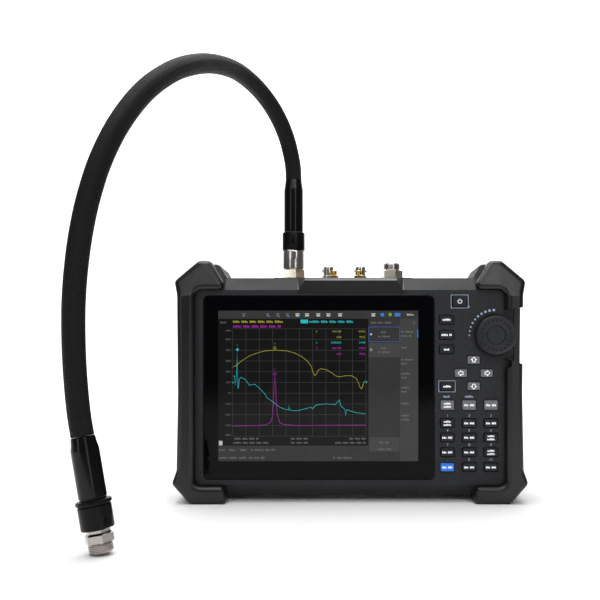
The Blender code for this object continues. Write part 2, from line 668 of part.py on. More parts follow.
def make_far_end():
    """The far sleeve, collar and connector, in line, leaning a little and standing on their tip."""
    start, tip = Vector(CABLE_ROUTE[-1]), Vector(FAR_TIP)
    axis = tip - start
    length, end = axis.length, FAR_SLEEVE
    pieces = [
        ("far_sleeve", "sleeve_plastic", [
            (0, GAP), (7.1, GAP), (7.5, 1.0), (7.9, 4.5), (8.7, 8.5), (8.7, end), (0, end),
        ], 28),
        ("far_collar", "sleeve_plastic", [
            (0, end + 0.3), (8.2, end + 0.3), (8.2, end + 1.4), (10.6, end + 1.8), (11.0, end + 2.2),
            (11.0, end + 4.0), (10.6, end + 4.4), (9.4, end + 4.6), (9.4, end + 5.0), (10.3, end + 5.4),
            (10.3, end + 19.4), (9.8, end + 20), (0, end + 20),
        ], 28),
    ]
    for name, finish, profile, segments in pieces:
        finished(name, turned(profile, start, axis, segments), finish)
    flats = 16.0
    corner = flats / math.sqrt(3)
    connector = finished("far_connector", turned([
        (0, end + 20.3), (7.6, end + 20.3), (7.6, end + 22.8), (corner - 0.8, end + 22.8),
        (corner, end + 23.4), (corner, end + 28.4), (corner - 0.8, end + 29), (0, end + 29),
    ], start, axis, 6, math.radians(30)), "nickel")
    barrel = turned([
        (0, end + 26.8), (7.0, end + 26.8), (7.0, end + 29.6), (7.75, end + 30.2), (7.75, length - 0.6),
        (7.2, length), (0, length),
    ], start, axis)
    boolean(connector, barrel, "UNION", "barrel")
    socket = turned([(0, length - 8), (4.4, length - 8), (4.4, length + 4), (0, length + 4)], start, axis, 24)
    boolean(connector, socket, name="socket")


# ---------------------------------------------------------------- inside and behind

def make_inside():
    finished("main_board", plate((-122, 126), (2.0, 3.6), (14, 182)), "circuit_board")
    finished("battery_pack", plate((-51, 51), (9.0, 29.0), (37, 103), 3), "battery_wrap")
    hatch = box_corners((-54, 54), (34, 106), 4)
    finished("battery_cover", slab([
        (CASE_BACK - WALL, hatch, GAP), (CASE_BACK - 0.6, hatch, GAP), (CASE_BACK, hatch, GAP + 0.6),
    ]), "case_plastic")


def make_fan():
    half = FAN_SIDE / 2
    front, back = 17.5, 28.5
    frame = finished("fan_frame", plate(
        (FAN_X - half, FAN_X + half), (front, back), (FAN_Z - half, FAN_Z + half), 3
    ), "fan_plastic")
    centre = (FAN_X, 0, FAN_Z)
    ahead, inner = front - 3, back - 1.6
    tunnel = turned([(0, ahead), (18.6, ahead), (18.6, inner), (0, inner)], centre, (0, 1, 0), 28)
    boolean(frame, tunnel, name="tunnel")
    outlets = []
    for index in range(8):
        turn = math.tau * index / 8
        place = (FAN_X + 14 * math.cos(turn), back - 4, FAN_Z + 14 * math.sin(turn))
        outlets.append(turned([(0, 0), (4.2, 0), (4.2, 8), (0, 8)], place, (0, 1, 0), 16))
    boolean(frame, joined(*outlets), name="outlets")
    rotor = finished("fan_rotor", turned([
        (0, front + 0.8), (9.0, front + 0.8), (9.6, front + 1.4), (9.6, back - 2.6), (0, back - 2.6),
    ], centre, (0, 1, 0), 28), "fan_plastic", (FAN_X, front, FAN_Z))
    blades = []
    for index in range(7):
        blade = plate((8.8, 17.8), (-3.2, 3.2), (-0.6, 0.6))
        pitch = Matrix.Rotation(math.radians(38), 4, "X")
        turn = Matrix.Rotation(math.tau * index / 7, 4, "Y")
        place = Matrix.Translation((FAN_X, (front + back) / 2 - 0.7, FAN_Z))
        blade.transform(place @ turn @ pitch)
        blades.append(blade)
    boolean(rotor, joined(*blades), "UNION", "blades")


def make_stand():
    """Leg folded flat on the back, on a pin between two lugs; it swings out about the pin."""
    foot = 9.0
    outline = [
        (-STAND_HALF + 6, foot, 4), (STAND_HALF - 6, foot, 4), (STAND_HALF, 60, 12),
        (STAND_HALF, 113, 3), (-STAND_HALF, 113, 3), (-STAND_HALF, 60, 12),
    ]
    hinge = (0, STAND_HINGE_Y, STAND_HINGE_Z)
    front, back = CASE_BACK + 0.5, CASE_BACK + 4.2
    leg = finished("kickstand", slab([
        (front, outline, 0.5), (front + 0.5, outline, 0), (back - 0.8, outline, 0), (back, outline, 1.0),
    ]), "case_plastic", hinge)
    end, tip = STAND_BARREL, STAND_BARREL + 4
    knuckle = turned([
        (0, -tip), (1.3, -tip), (1.3, -end), (2.0, -end), (2.0, end), (1.3, end), (1.3, tip), (0, tip),
    ], hinge, (1, 0, 0), 20)
    web = plate((-end, end), (front + 0.2, back - 0.3), (108, STAND_HINGE_Z))
    boolean(leg, web, "UNION", "web")
    boolean(leg, knuckle, "UNION", "knuckle")


def make_side_door():
    axis_x, axis_y = -146.6, DOOR_Y[1] + 0.4
    outline_y, outline_z = (DOOR_Y[0], DOOR_Y[1]), (DOOR_Z[0], DOOR_Z[1])
    door = plate((-145.9, -143.4), outline_y, outline_z)
    finished("side_door", door, "bumper_rubber", (axis_x, axis_y, sum(DOOR_Z) / 2))


def make_jacks():
    """The network and USB jacks behind the side door, each a box that opens towards the door."""
    outer, floor, rear = -140.0, -127.0, -124.0
    for name, z, height, width in (("network_jack", 84.0, 16.0, 14.0), ("usb_jack", 108.0, 8.0, 15.0)):
        half_y, half_z = width / 2, height / 2
        jack = plate((outer, rear), (IO_Y - half_y, IO_Y + half_y), (z - half_z, z + half_z))
        mouth_y, mouth_z = (IO_Y + 1 - half_y, IO_Y - 1 + half_y), (z - half_z + 1, z + half_z - 1)
        boolean(finished(name, jack, "shield_can"), plate((outer - 5, floor), mouth_y, mouth_z), name="mouth")


def main():
    for obj in list(bpy.data.objects):
        bpy.data.objects.remove(obj)
    make_front_case()
    make_rear_case()
    make_bumpers()
    make_badge()
    make_display()
    make_keys()
    make_keypad()
    make_encoder()
    make_connectors()
    make_cable_tube()
    make_near_end()
    make_far_end()
    make_inside()
    make_fan()
    make_stand()
    make_side_door()
    make_jacks()


main()
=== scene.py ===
"""The looks of the handheld spectrum analyzer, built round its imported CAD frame.

Axes as in the CAD: +X to the reader's right, +Y away from the reader, +Z up. Lengths are in millimetres,
scaled by MM where they enter the scene. Each visible piece rides on the CAD body that carries it.
"""

from math import cos, pi, radians, sin, sqrt, tan, tau

import bmesh
import bpy
from mathutils import Matrix, Vector


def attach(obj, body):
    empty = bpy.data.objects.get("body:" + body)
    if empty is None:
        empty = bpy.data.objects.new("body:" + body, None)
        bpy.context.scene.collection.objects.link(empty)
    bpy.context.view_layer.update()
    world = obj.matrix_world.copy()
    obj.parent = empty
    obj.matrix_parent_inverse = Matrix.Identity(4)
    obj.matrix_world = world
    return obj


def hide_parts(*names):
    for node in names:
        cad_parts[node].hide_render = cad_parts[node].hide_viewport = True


MM = 0.001
SMOOTH_BELOW = radians(32)

# The instrument's main sizes, as in the CAD
PANEL_Y, SHOULDER_Y, CASE_BACK = -29.5, -18.0, 33.0
BUMPER_FRONT, BUMPER_BACK = -38.0, 38.0
CASE_HALF, CASE_TOP, CASE_BOTTOM = 142.6, 193.3, 4.8
PANEL_HALF, PANEL_TOP, PANEL_BOTTOM = 139.2, 181.8, 15.4
GLASS_X, GLASS_Z, GLASS_Y = (-125.4, 72.0), (20.0, 177.0), -30.0
KNOB_X, KNOB_Z, KNOB_R, KNOB_FRONT, KNOB_BACK = 123.5, 143.0, 16.8, -38.0, -29.3
KEY_FRONT, KEY_BACK = PANEL_Y - 1.4, PANEL_Y + 4.3
PLATE_TOP = 195.4
PORT_Y, PORT_1_X, PORT_2_X = 10.5, -51.0, 38.2
BNC_X, SMA_X, SMA_Y = (-19.4, 9.8), (-14.4, 7.9), 0.0

# Screen: the lit area's left and top edges, and its size
SCREEN_LEFT, SCREEN_TOP, SCREEN_WIDE, SCREEN_HIGH = -112.5, 164.1, 170.6, 128.4
# Marks are thin plates. These are their thickness on the panel and on the screen, the screen's trace width and
# its height of print
MARK_THICK, SCREEN_THICK, TRACE_WIDTH, SCREEN_PRINT = 0.04, 0.02, 0.34, 1.6
# A font's nominal size over the height of its digits
SIZE_OVER_HEIGHT = 1.38

# Test cable, from the sleeve at port 1 to the sleeve above the far connector
CABLE_R, CABLE_LENGTH = 7.25, 0.5
CABLE_ROUTE = [
    (-51.0, 10.5, 285.5), (-52.2, 10.3, 302.0), (-57.5, 4.0, 324.0), (-66.6, -9.5, 342.0),
    (-78.5, -30.0, 353.5), (-92.6, -59.0, 356.5), (-106.0, -97.0, 346.5), (-118.8, -132.0, 329.6),
    (-130.0, -154.5, 312.0), (-140.0, -170.0, 293.5), (-149.8, -182.0, 270.7), (-157.7, -189.0, 247.8),
    (-163.6, -192.6, 225.0), (-168.0, -194.0, 202.7), (-171.3, -193.7, 180.0), (-173.4, -192.5, 157.7),
    (-174.2, -190.6, 135.0), (-173.8, -188.9, 112.0), (-172.0, -188.0, 89.2), (-169.63, -188.0, 74.2),
]
FAR_SLEEVE, FAR_TIP = 38.7, (-157.5, -188.0, 1.5)
# Turns about the upright axis: the nut's flats, the near collar's flat, the ports' hexagons
NUT_TURN, COLLAR_TURN, PORT_TURN = -0.23, -0.30, radians(-14)

# Keys: name, x, z, width, height
KEYS = [
    ("key_power", 93.6, 172.0, 12.8, 9.3), ("key_measure", 82.4, 156.4, 12.7, 7.6),
    ("key_format", 82.4, 143.4, 12.7, 7.6), ("key_calibrate", 82.4, 131.0, 12.7, 7.6),
    ("key_lock", 82.8, 99.5, 12.2, 7.6), ("key_arrow_up", 105.5, 122.0, 11.1, 7.1),
    ("key_arrow_left", 94.6, 110.8, 11.1, 7.1), ("key_arrow_right", 116.7, 110.8, 11.1, 7.1),
    ("key_arrow_down", 105.5, 99.7, 11.1, 7.1),
]
PAD_COLUMNS = (("left", 83.0), ("middle", 101.6), ("right", 120.2))
PAD_ROWS = (("function", 83.5), ("top", 68.1), ("upper", 55.8), ("lower", 43.3), ("bottom", 30.5))
KEYS += [
    (f"key_{row}_{side}", x, z, 12.1, 8.8 if row == "function" else 7.6)
    for row, z in PAD_ROWS for side, x in PAD_COLUMNS
]


# ---- materials

# name: colour, roughness, specular level, grain height in mm, grain size in mm, variation
SURFACES = {
    "case_plastic": ((0.0175, 0.0185, 0.0205), 0.58, 0.28, 0.11, 0.65, 0.22),
    "bumper_rubber": ((0.0048, 0.0051, 0.006), 0.31, 0.44, 0.012, 0.45, 0.2),
    "badge_plastic": ((0.006, 0.0063, 0.0068), 0.38, 0.46, 0.004, 0.4, 0.08),
    "display_glass": ((0.0012, 0.0013, 0.002), 0.03, 0.1, 0.0, 5.0, 0.05),
    "screen": ((0.0092, 0.0092, 0.0092), 0.03, 0.1, 0.0, 5.0, 0.05),
    "key_dark": ((0.01, 0.0115, 0.015), 0.5, 0.3, 0.004, 0.3, 0.08),
    "key_grey": ((0.15, 0.155, 0.17), 0.55, 0.4, 0.004, 0.3, 0.06),
    "key_blue": ((0.018, 0.2, 0.8), 0.45, 0.4, 0.003, 0.3, 0.06),
    "knob_plastic": ((0.015, 0.016, 0.018), 0.42, 0.3, 0.03, 0.45, 0.3),
    "led_lens": ((0.3, 0.34, 0.38), 0.25, 0.5, 0.0, 1.0, 0.05),
    "connector_nickel": ((0.6, 0.575, 0.555), 0.2, 0.5, 0.002, 0.25, 0.1),
    # The far connector's nickel is the ports' nickel made darker: painted shade for its dimmer reflections
    "far_nickel": ((0.42, 0.385, 0.37), 0.22, 0.5, 0.002, 0.25, 0.1),
    "port_plate": ((0.94, 0.87, 0.74), 0.25, 0.5, 0.002, 0.25, 0.08),
    "shaft_steel": ((0.3, 0.3, 0.31), 0.32, 0.5, 0.002, 0.25, 0.1),
    "gold_plate": ((0.83, 0.58, 0.22), 0.22, 0.5, 0.002, 0.25, 0.1),
    "sleeve_plastic": ((0.003, 0.003, 0.0035), 0.17, 0.26, 0.002, 0.6, 0.1),
    "collar_plastic": ((0.003, 0.003, 0.0035), 0.3, 0.14, 0.004, 0.4, 0.1),
    # The key membrane is kept dark so the gaps round the keys read black: painted shade in the gaps
    "silicone": ((0.03, 0.031, 0.033), 0.7, 0.4, 0.004, 0.5, 0.08),
    "circuit_board": ((0.012, 0.085, 0.035), 0.45, 0.5, 0.006, 0.8, 0.2),
    "shield_can": ((0.56, 0.57, 0.58), 0.34, 0.5, 0.003, 0.6, 0.1),
    "battery_wrap": ((0.014, 0.014, 0.018), 0.45, 0.4, 0.003, 0.8, 0.1),
    "fan_plastic": ((0.01, 0.01, 0.011), 0.5, 0.4, 0.004, 0.5, 0.1),
}
METALS = {"connector_nickel", "far_nickel", "port_plate", "shaft_steel", "gold_plate", "shield_can"}
COATS = {"led_lens": 0.4, "circuit_board": 0.2}
# Inks and lit marks: colour, strength of their own light. The lit marks are the screen's own light; the inks on the
# keys and panel glow as painted light, so the print stays bright.
INKS = {
    "glowing_white_ink": ((0.86, 0.88, 0.90), 0.50),
    "glowing_blue_grey_ink": ((0.34, 0.44, 0.56), 0.10),
    "lit_grid": ((0.050, 0.050, 0.050), 0.25),
    "lit_bar": ((0.033, 0.033, 0.033), 0.25),
    "lit_menu": ((0.031, 0.031, 0.031), 0.25),
    "lit_tabs": ((0.044, 0.046, 0.044), 0.25),
    "lit_white": ((0.40, 0.40, 0.40), 0.4),
    "lit_dim": ((0.12, 0.12, 0.12), 0.3),
    "lit_yellow": ((0.30, 0.28, 0.03), 0.4),
    "lit_cyan": ((0.02, 0.36, 0.38), 0.4),
    "lit_magenta": ((0.30, 0.015, 0.30), 0.4),
    "lit_blue": ((0.04, 0.13, 0.45), 0.4),
    "lit_green": ((0.10, 0.32, 0.03), 0.4),
}
# Noise values lie almost wholly between these
NOISE_LOW, NOISE_HIGH = 0.3, 0.7
# The materials made so far, by finish
FINISHES = {}


def new_finish(name):
    """A new material with its nodes, links and shader."""
    made = bpy.data.materials.new(name)
    made.use_nodes = True
    tree = made.node_tree
    return made, tree.nodes, tree.links, tree.nodes["Principled BSDF"]


def set_inputs(node, values):
    for name, value in values.items():
        node.inputs[name].default_value = value


def add_noise(nodes, links, place, size, detail=2.0):
    noise = nodes.new("ShaderNodeTexNoise")
    set_inputs(noise, {"Scale": 1 / (size * MM), "Detail": detail})
    links.new(place, noise.inputs["Vector"])
    return noise.outputs["Fac"]


def add_range(nodes, links, value, low, high):
    """Spreads a noise value over low to high."""
    made = nodes.new("ShaderNodeMapRange")
    set_inputs(made, {"From Min": NOISE_LOW, "From Max": NOISE_HIGH, "To Min": low, "To Max": high})
    links.new(value, made.inputs["Value"])
    return made.outputs["Result"]


def add_mix(nodes, links, share, first, second):
    """first and second are plain colours. share runs from 0 to 1."""
    mix = nodes.new("ShaderNodeMix")
    mix.data_type = "RGBA"
    set_inputs(mix, {"A": (*first, 1), "B": (*second, 1)})
    links.new(share, mix.inputs["Factor"])
    return mix.outputs["Result"]


def add_bump(nodes, links, shader, height, depth):
    bump = nodes.new("ShaderNodeBump")
    set_inputs(bump, {"Strength": 1.0, "Distance": depth * MM})
    links.new(height, bump.inputs["Height"])
    links.new(bump.outputs["Normal"], shader.inputs["Normal"])


def material(name):
    """The named finish: plain colour varied a little, uneven roughness, and a moulded or machined grain."""
    if name in FINISHES:
        return FINISHES[name]
    made, nodes, links, shader = new_finish(f"{name}_look")
    FINISHES[name] = made
    place = nodes.new("ShaderNodeTexCoord").outputs["Object"]
    if name in INKS:
        colour, glow = INKS[name]
        roughness, level, grain, size, variation = 0.35, 0.3, 0.0, 3.0, 0.06
        if name.startswith("lit"):
            roughness, level = SURFACES["display_glass"][1:3]
        # Emission: the display's own light for the screen's marks, painted light for the inks on keys and panel
        set_inputs(shader, {"Emission Color": (*colour, 1), "Emission Strength": glow})
    else:
        colour, roughness, level, grain, size, variation = SURFACES[name]
    set_inputs(shader, {
        "Metallic": float(name in METALS), "Specular IOR Level": level, "Coat Weight": COATS.get(name, 0.0),
        "Coat Roughness": 0.08,
    })
    share = add_range(nodes, links, add_noise(nodes, links, place, max(size, 0.5) * 2.2), 0, 1)
    dark = tuple(c * (1 - variation) for c in colour)
    light = tuple(min(c * (1 + variation), 1) for c in colour)
    links.new(add_mix(nodes, links, share, dark, light), shader.inputs["Base Color"])
    patches = add_noise(nodes, links, place, 40, 4)
    uneven = add_range(nodes, links, patches, roughness * 0.88, min(roughness * 1.12, 1))
    links.new(uneven, shader.inputs["Roughness"])
    if grain:
        add_bump(nodes, links, shader, add_noise(nodes, links, place, size, 3), grain)
    return made


def braid_material():
    """Woven sleeve over the cable: two sets of strands that cross, from the tube's own lengthwise map."""
    made, nodes, links, shader = new_finish("cable_braid_look")
    weave_map = nodes.new("ShaderNodeSeparateXYZ")
    links.new(nodes.new("ShaderNodeTexCoord").outputs["UV"], weave_map.inputs["Vector"])

    def math_node(operation, *values):
        made_node = nodes.new("ShaderNodeMath")
        made_node.operation = operation
        for socket, value in zip(made_node.inputs, values):
            if isinstance(value, float):
                socket.default_value = value
            else:
                links.new(value, socket)
        return made_node.outputs["Value"]

    set_inputs(shader, {"Specular IOR Level": 0.12})
    strands, pitch = 36.0, 0.0022
    around = math_node("MULTIPLY", weave_map.outputs["X"], strands * pi)
    along = math_node("MULTIPLY", weave_map.outputs["Y"], pi / pitch * 1.6)
    one = math_node("SINE", math_node("ADD", around, along))
    other = math_node("SINE", math_node("SUBTRACT", around, along))
    weave = math_node("MULTIPLY", one, other)
    share = math_node("ADD", math_node("MULTIPLY", weave, 0.5), 0.5)
    # Strand tops lighter and hollows darker: painted shade that follows the weave's bump, over the black strands' own
    # tone
    colour = add_mix(nodes, links, share, (0.0012, 0.0012, 0.0012), (0.0150, 0.0140, 0.0140))
    links.new(colour, shader.inputs["Base Color"])
    uneven = add_noise(nodes, links, nodes["Texture Coordinate"].outputs["Object"], 1.2, 3)
    links.new(add_range(nodes, links, uneven, 0.42, 0.68), shader.inputs["Roughness"])
    add_bump(nodes, links, shader, share, 0.25)
    return made


# ---- outlines and solids

def rounded(corners, inset=0.0, steps=2):
    """The outline through corners (x, z, radius), moved inwards by inset, each corner an arc."""
    count = len(corners)
    flat = [Vector((x, z)) for x, z, _ in corners]
    area = sum(a.x * b.y - b.x * a.y for a, b in zip(flat, flat[1:] + flat[:1]))
    turn = 1 if area > 0 else -1
    along = [(flat[(i + 1) % count] - flat[i]).normalized() for i in range(count)]
    inward = [Vector((-d.y, d.x)) * turn for d in along]
    moved = []
    for i in range(count):
        n0, n1 = inward[i - 1], inward[i]
        moved.append(flat[i] + (n0 + n1) * (inset / (1 + n0.dot(n1))))
    outline = []
    for i in range(count):
        before, after = along[i - 1], along[i]
        bend = before.angle_signed(after, 0.0) * -turn
        radius = max(corners[i][2] + (inset if bend < 0 else -inset), 0.25)
        reach = radius * tan(abs(bend) / 2)
        start = moved[i] - before * reach
        centre = start + inward[i - 1] * (radius if bend > 0 else -radius)
        for step in range(steps + 1):
            spoke = (start - centre).copy()
            spoke.rotate(Matrix.Rotation(bend * turn * step / steps, 2))
            outline.append(centre + spoke)
    return outline


def box_corners(x, z, radius=0.0):
    return [(x[0], z[0], radius), (x[1], z[0], radius), (x[1], z[1], radius), (x[0], z[1], radius)]


def mirrored(corners):
    return [(-x, z, r) for x, z, r in reversed(corners)]


def bridge(mesh, low, high):
    """The faces between two rings of points."""
    steps = [(i, (i + 1) % len(low)) for i in range(len(low))]
    return [mesh.faces.new((low[i], low[j], high[j], high[i])) for i, j in steps]


def lofted(rings):
    """A closed solid through rings that have the same number of points."""
    mesh = bmesh.new()
    made = [[mesh.verts.new(p) for p in ring] for ring in rings]
    for low, high in zip(made, made[1:]):
        bridge(mesh, low, high)
    mesh.faces.new(made[0])
    mesh.faces.new(list(reversed(made[-1])))
    return mesh


def slab(layers, steps=3):
    """A solid from layers (y, corners, inset), front to back."""
    return lofted([[(p.x, y, p.y) for p in rounded(corners, inset, steps)] for y, corners, inset in layers])


def rolled(front, radius, corners, arcs=4):
    """The layers of an edge rounded from the front: a quarter circle of that radius."""
    turns = [pi / 2 * i / arcs for i in range(arcs + 1)]
    return [(front + radius * (1 - cos(a)), corners, radius * (1 - sin(a))) for a in turns]


def turned(profile, centre=(0, 0, 0), axis=(0, 0, 1), segments=48, turn=0.0, ripple=None):
    """A solid of revolution. profile lists (radius, distance along axis). ripple changes a radius by angle."""
    direction = Vector(axis).normalized()
    frame_matrix = direction.to_track_quat("Z", "Y").to_matrix().to_4x4()
    place = Matrix.Translation(Vector(centre)) @ frame_matrix @ Matrix.Rotation(turn, 4, "Z")
    mesh = bmesh.new()
    rings = []
    for radius, height in profile:
        if radius == 0:
            rings.append([mesh.verts.new(place @ Vector((0, 0, height)))])
            continue
        ring = []
        for i in range(segments):
            a = tau * i / segments
            r = radius + (ripple(radius, height, a) if ripple else 0)
            ring.append(mesh.verts.new(place @ Vector((r * cos(a), r * sin(a), height))))
        rings.append(ring)
    pairs = list(zip(rings, rings[1:]))
    if profile[0][0] and profile[-1][0]:
        pairs.append((rings[-1], rings[0]))
    for low, high in pairs:
        for i in range(segments):
            j = (i + 1) % segments
            face = [low[i % len(low)], low[j % len(low)], high[j % len(high)], high[i % len(high)]]
            mesh.faces.new(list(dict.fromkeys(face)))
    return mesh


def face_out(mesh):
    bmesh.ops.recalc_face_normals(mesh, faces=mesh.faces)
    if mesh.calc_volume(signed=True) < 0:
        bmesh.ops.reverse_faces(mesh, faces=mesh.faces)


def cross_cut(mesh, level, direction):
    """Adds edges where the mesh crosses the plane that lies level mm along direction."""
    bmesh.ops.bisect_plane(
        mesh, geom=[*mesh.verts, *mesh.edges, *mesh.faces], plane_co=direction * level, plane_no=direction
    )


def as_data(name, mesh):
    """The mesh as mesh data. The mesh itself is used up."""
    data = bpy.data.meshes.new(name)
    mesh.to_mesh(data)
    mesh.free()
    return data


def placed(name, data):
    obj = bpy.data.objects.new(name, data)
    bpy.context.scene.collection.objects.link(obj)
    return obj


def joined(*meshes):
    whole = bmesh.new()
    for mesh in meshes:
        face_out(mesh)
        data = as_data("joined", mesh)
        whole.from_mesh(data)
        bpy.data.meshes.remove(data)
    return whole


def shaded(data):
    data.shade_smooth()
    data.set_sharp_from_angle(angle=SMOOTH_BELOW)


def piece(name, mesh, finish, stands_for=(), body="root"):
    """The mesh, in millimetres, as a piece that rides on a body and may stand for CAD nodes."""
    face_out(mesh)
    bmesh.ops.scale(mesh, vec=(MM, MM, MM), verts=mesh.verts)
    data = as_data(name, mesh)
    shaded(data)
    data.materials.append(material(finish) if isinstance(finish, str) else finish)
    obj = placed(name, data)
    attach(obj, body)
    if stands_for:
        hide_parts(*stands_for)
    return obj


def carve(obj, *tools):
    """Cuts meshes from obj for good, then shades the new edges."""
    whole = joined(*tools)
    bmesh.ops.scale(whole, vec=(MM, MM, MM), verts=whole.verts)
    data = as_data("tool", whole)
    tool = placed("tool", data)
    modifier = obj.modifiers.new("carve", "BOOLEAN")
    modifier.operation = "DIFFERENCE"
    modifier.solver = "EXACT"
    modifier.object = tool
    graph = bpy.context.evaluated_depsgraph_get()
    cut = bpy.data.meshes.new_from_object(obj.evaluated_get(graph))
    obj.modifiers.clear()
    old, obj.data = obj.data, cut
    cut.name = obj.name
    bpy.data.meshes.remove(old)
    bpy.data.objects.remove(tool)
    bpy.data.meshes.remove(data)
    shaded(cut)


# ---- flat marks

def add_prism(mesh, points, face, thick=MARK_THICK):
    """A thin plate whose outline is points (x, z), standing off the plane y = face towards the reader."""
    front = [mesh.verts.new((x, face - thick, z)) for x, z in points]
    back = [mesh.verts.new((x, face, z)) for x, z in points]
    bridge(mesh, front, back)
    mesh.faces.new(list(reversed(front)))
    mesh.faces.new(back)


def add_box(mesh, x, z, face, thick=MARK_THICK):
    add_prism(mesh, [(x[0], z[0]), (x[1], z[0]), (x[1], z[1]), (x[0], z[1])], face, thick)


def add_frame(mesh, x, z, width, face, thick=MARK_THICK):
    add_box(mesh, x, (z[0], z[0] + width), face, thick)
    add_box(mesh, x, (z[1] - width, z[1]), face, thick)
    add_box(mesh, (x[0], x[0] + width), (z[0] + width, z[1] - width), face, thick)
    add_box(mesh, (x[1] - width, x[1]), (z[0] + width, z[1] - width), face, thick)


def circle(x, z, radius, turns):
    return [(x + radius * cos(a), z + radius * sin(a)) for a in turns]


def add_disc(mesh, x, z, radius, face, sides=16, thick=MARK_THICK):
    add_prism(mesh, circle(x, z, radius, [tau * i / sides for i in range(sides)]), face, thick)


def add_line(mesh, points, width, face, thick=MARK_THICK):
    """A ribbon along points (x, z), mitred at each bend."""
    path = [Vector(p) for p in points]
    sides = ([], [])
    for i, point in enumerate(path):
        before = (point - path[i - 1]).normalized() if i else None
        after = (path[i + 1] - point).normalized() if i + 1 < len(path) else before
        before = before or after
        across = Vector((-after.y, after.x))
        normal = Vector((-(before + after).y, (before + after).x))
        normal = normal.normalized() if normal.length > 1e-6 else across
        reach = width / 2 / max(abs(normal.dot(across)), 0.5)
        sides[0].append(point + normal * reach)
        sides[1].append(point - normal * reach)
    for i in range(len(path) - 1):
        add_prism(mesh, [sides[0][i], sides[0][i + 1], sides[1][i + 1], sides[1][i]], face, thick)


def add_words(mesh, x, z, width, height, face, letter=0.62, thick=MARK_THICK):
    """A blank line of print: upright strokes and small bars, with no letters in it."""
    step = height * letter
    count = max(1, round(width / step))
    for i in range(count):
        left = x + width * i / count
        right = left + width / count * 0.72
        kind = (i * 7 + count) % 5
        if kind == 3 and 1 < i < count - 2:
            continue
        low, high = z - height / 2, z + height / 2
        if kind % 2:
            high -= height * 0.22
        stroke = (right - left) * 0.38
        add_box(mesh, (left, left + stroke), (low, high), face, thick)
        add_box(mesh, (right - stroke, right), (low, high - height * 0.1), face, thick)
        middle = z - height * (0.1 if kind % 2 else -0.05)
        add_box(mesh, (left + stroke, right - stroke), (middle - height * 0.11, middle + height * 0.11), face, thick)


def add_text(mesh, text, x, z, height, face, align="CENTER", slant=0.0, thick=MARK_THICK):
    """Digits and signs, as solid plates."""
    curve = bpy.data.curves.new("text", "FONT")
    curve.body, curve.align_x, curve.align_y = text, align, "CENTER"
    curve.size, curve.shear, curve.resolution_u = height * SIZE_OVER_HEIGHT, slant, 2
    obj = placed("text", curve)
    graph = bpy.context.evaluated_depsgraph_get()
    data = bpy.data.meshes.new_from_object(obj.evaluated_get(graph))
    glyphs = bmesh.new()
    glyphs.from_mesh(data)
    bmesh.ops.remove_doubles(glyphs, verts=glyphs.verts, dist=1e-4)
    for found in glyphs.verts:
        found.co = Vector((x + found.co.x, face - thick, z + found.co.y))
    made = bmesh.ops.extrude_face_region(glyphs, geom=list(glyphs.faces))
    moved = [item for item in made["geom"] if isinstance(item, bmesh.types.BMVert)]
    bmesh.ops.translate(glyphs, vec=(0, thick, 0), verts=moved)
    solid = as_data("text", glyphs)
    mesh.from_mesh(solid)
    bpy.data.objects.remove(obj)
    bpy.data.curves.remove(curve)
    bpy.data.meshes.remove(data)
    bpy.data.meshes.remove(solid)


# ---- camera, light, floor

def make_camera():
    data = bpy.data.cameras.new("camera")
    data.lens, data.sensor_width = 42.156, 36
    data.shift_x, data.shift_y = -0.0717, 0.10
    data.clip_start, data.clip_end = 0.01, 20
    camera = placed("camera", data)
    camera.location = (-0.006, -0.6295, 0.122)
    camera.rotation_euler = (pi / 2, 0, 0)
    bpy.context.scene.camera = camera


def area_light(name, place, target, size, energy):
    data = bpy.data.lights.new(name, "AREA")
    data.energy = energy
    data.shape = "RECTANGLE"
    data.size, data.size_y = size
    light = placed(name, data)
    light.location = place
    light.rotation_mode = "QUATERNION"
    light.rotation_quaternion = (Vector(target) - Vector(place)).to_track_quat("-Z", "Y")


def make_studio():
    world = bpy.data.worlds.new("studio")
    world.use_nodes = True
    set_inputs(world.node_tree.nodes["Background"], {"Color": (1, 1, 1, 1), "Strength": 0.10})
    bpy.context.scene.world = world
    bpy.context.scene.view_settings.view_transform = "Standard"
    area_light("softbox_top", (-0.1, 0.1, 1.5), (0, 0, 0.1), (1.6, 1.2), 26)
    area_light("softbox_back", (-0.2, 0.9, 1.7), (-0.2, 2.2, 0.7), (3.2, 1.0), 60)
    area_light("softbox_front", (0.15, -1.1, 1.2), (0, 0, 0.18), (1.5, 0.7), 7.2)
    area_light("softbox_left", (-0.80, -1.15, 0.6), (0, 0, 0.2), (0.18, 1.2), 1.8)
    area_light("softbox_right", (0.56, -1.25, 0.6), (0, 0, 0.2), (0.18, 1.2), 1.8)

    mesh = bmesh.new()
    reach, bend, wall = 2.2, 0.7, 2.4
    profile = [(-3.0, 0.0), (reach - bend, 0.0)]
    profile += [
        (reach - bend + bend * sin(a), bend - bend * cos(a))
        for a in (pi / 2 * i / 12 for i in range(1, 13))
    ]
    profile.append((reach, wall))
    rows = [[mesh.verts.new((side * 3.5, y, z)) for y, z in profile] for side in (-1, 1)]
    for i in range(len(profile) - 1):
        mesh.faces.new((rows[0][i], rows[1][i], rows[1][i + 1], rows[0][i + 1]))
    data = as_data("floor", mesh)
    data.shade_smooth()
    pale, _, _, shader = new_finish("floor_pale")
    set_inputs(shader, {"Base Color": (0.93, 0.93, 0.93, 1), "Roughness": 0.9, "Specular IOR Level": 0.0})
    data.materials.append(pale)
    floor = placed("floor", data)


# ---- test cable

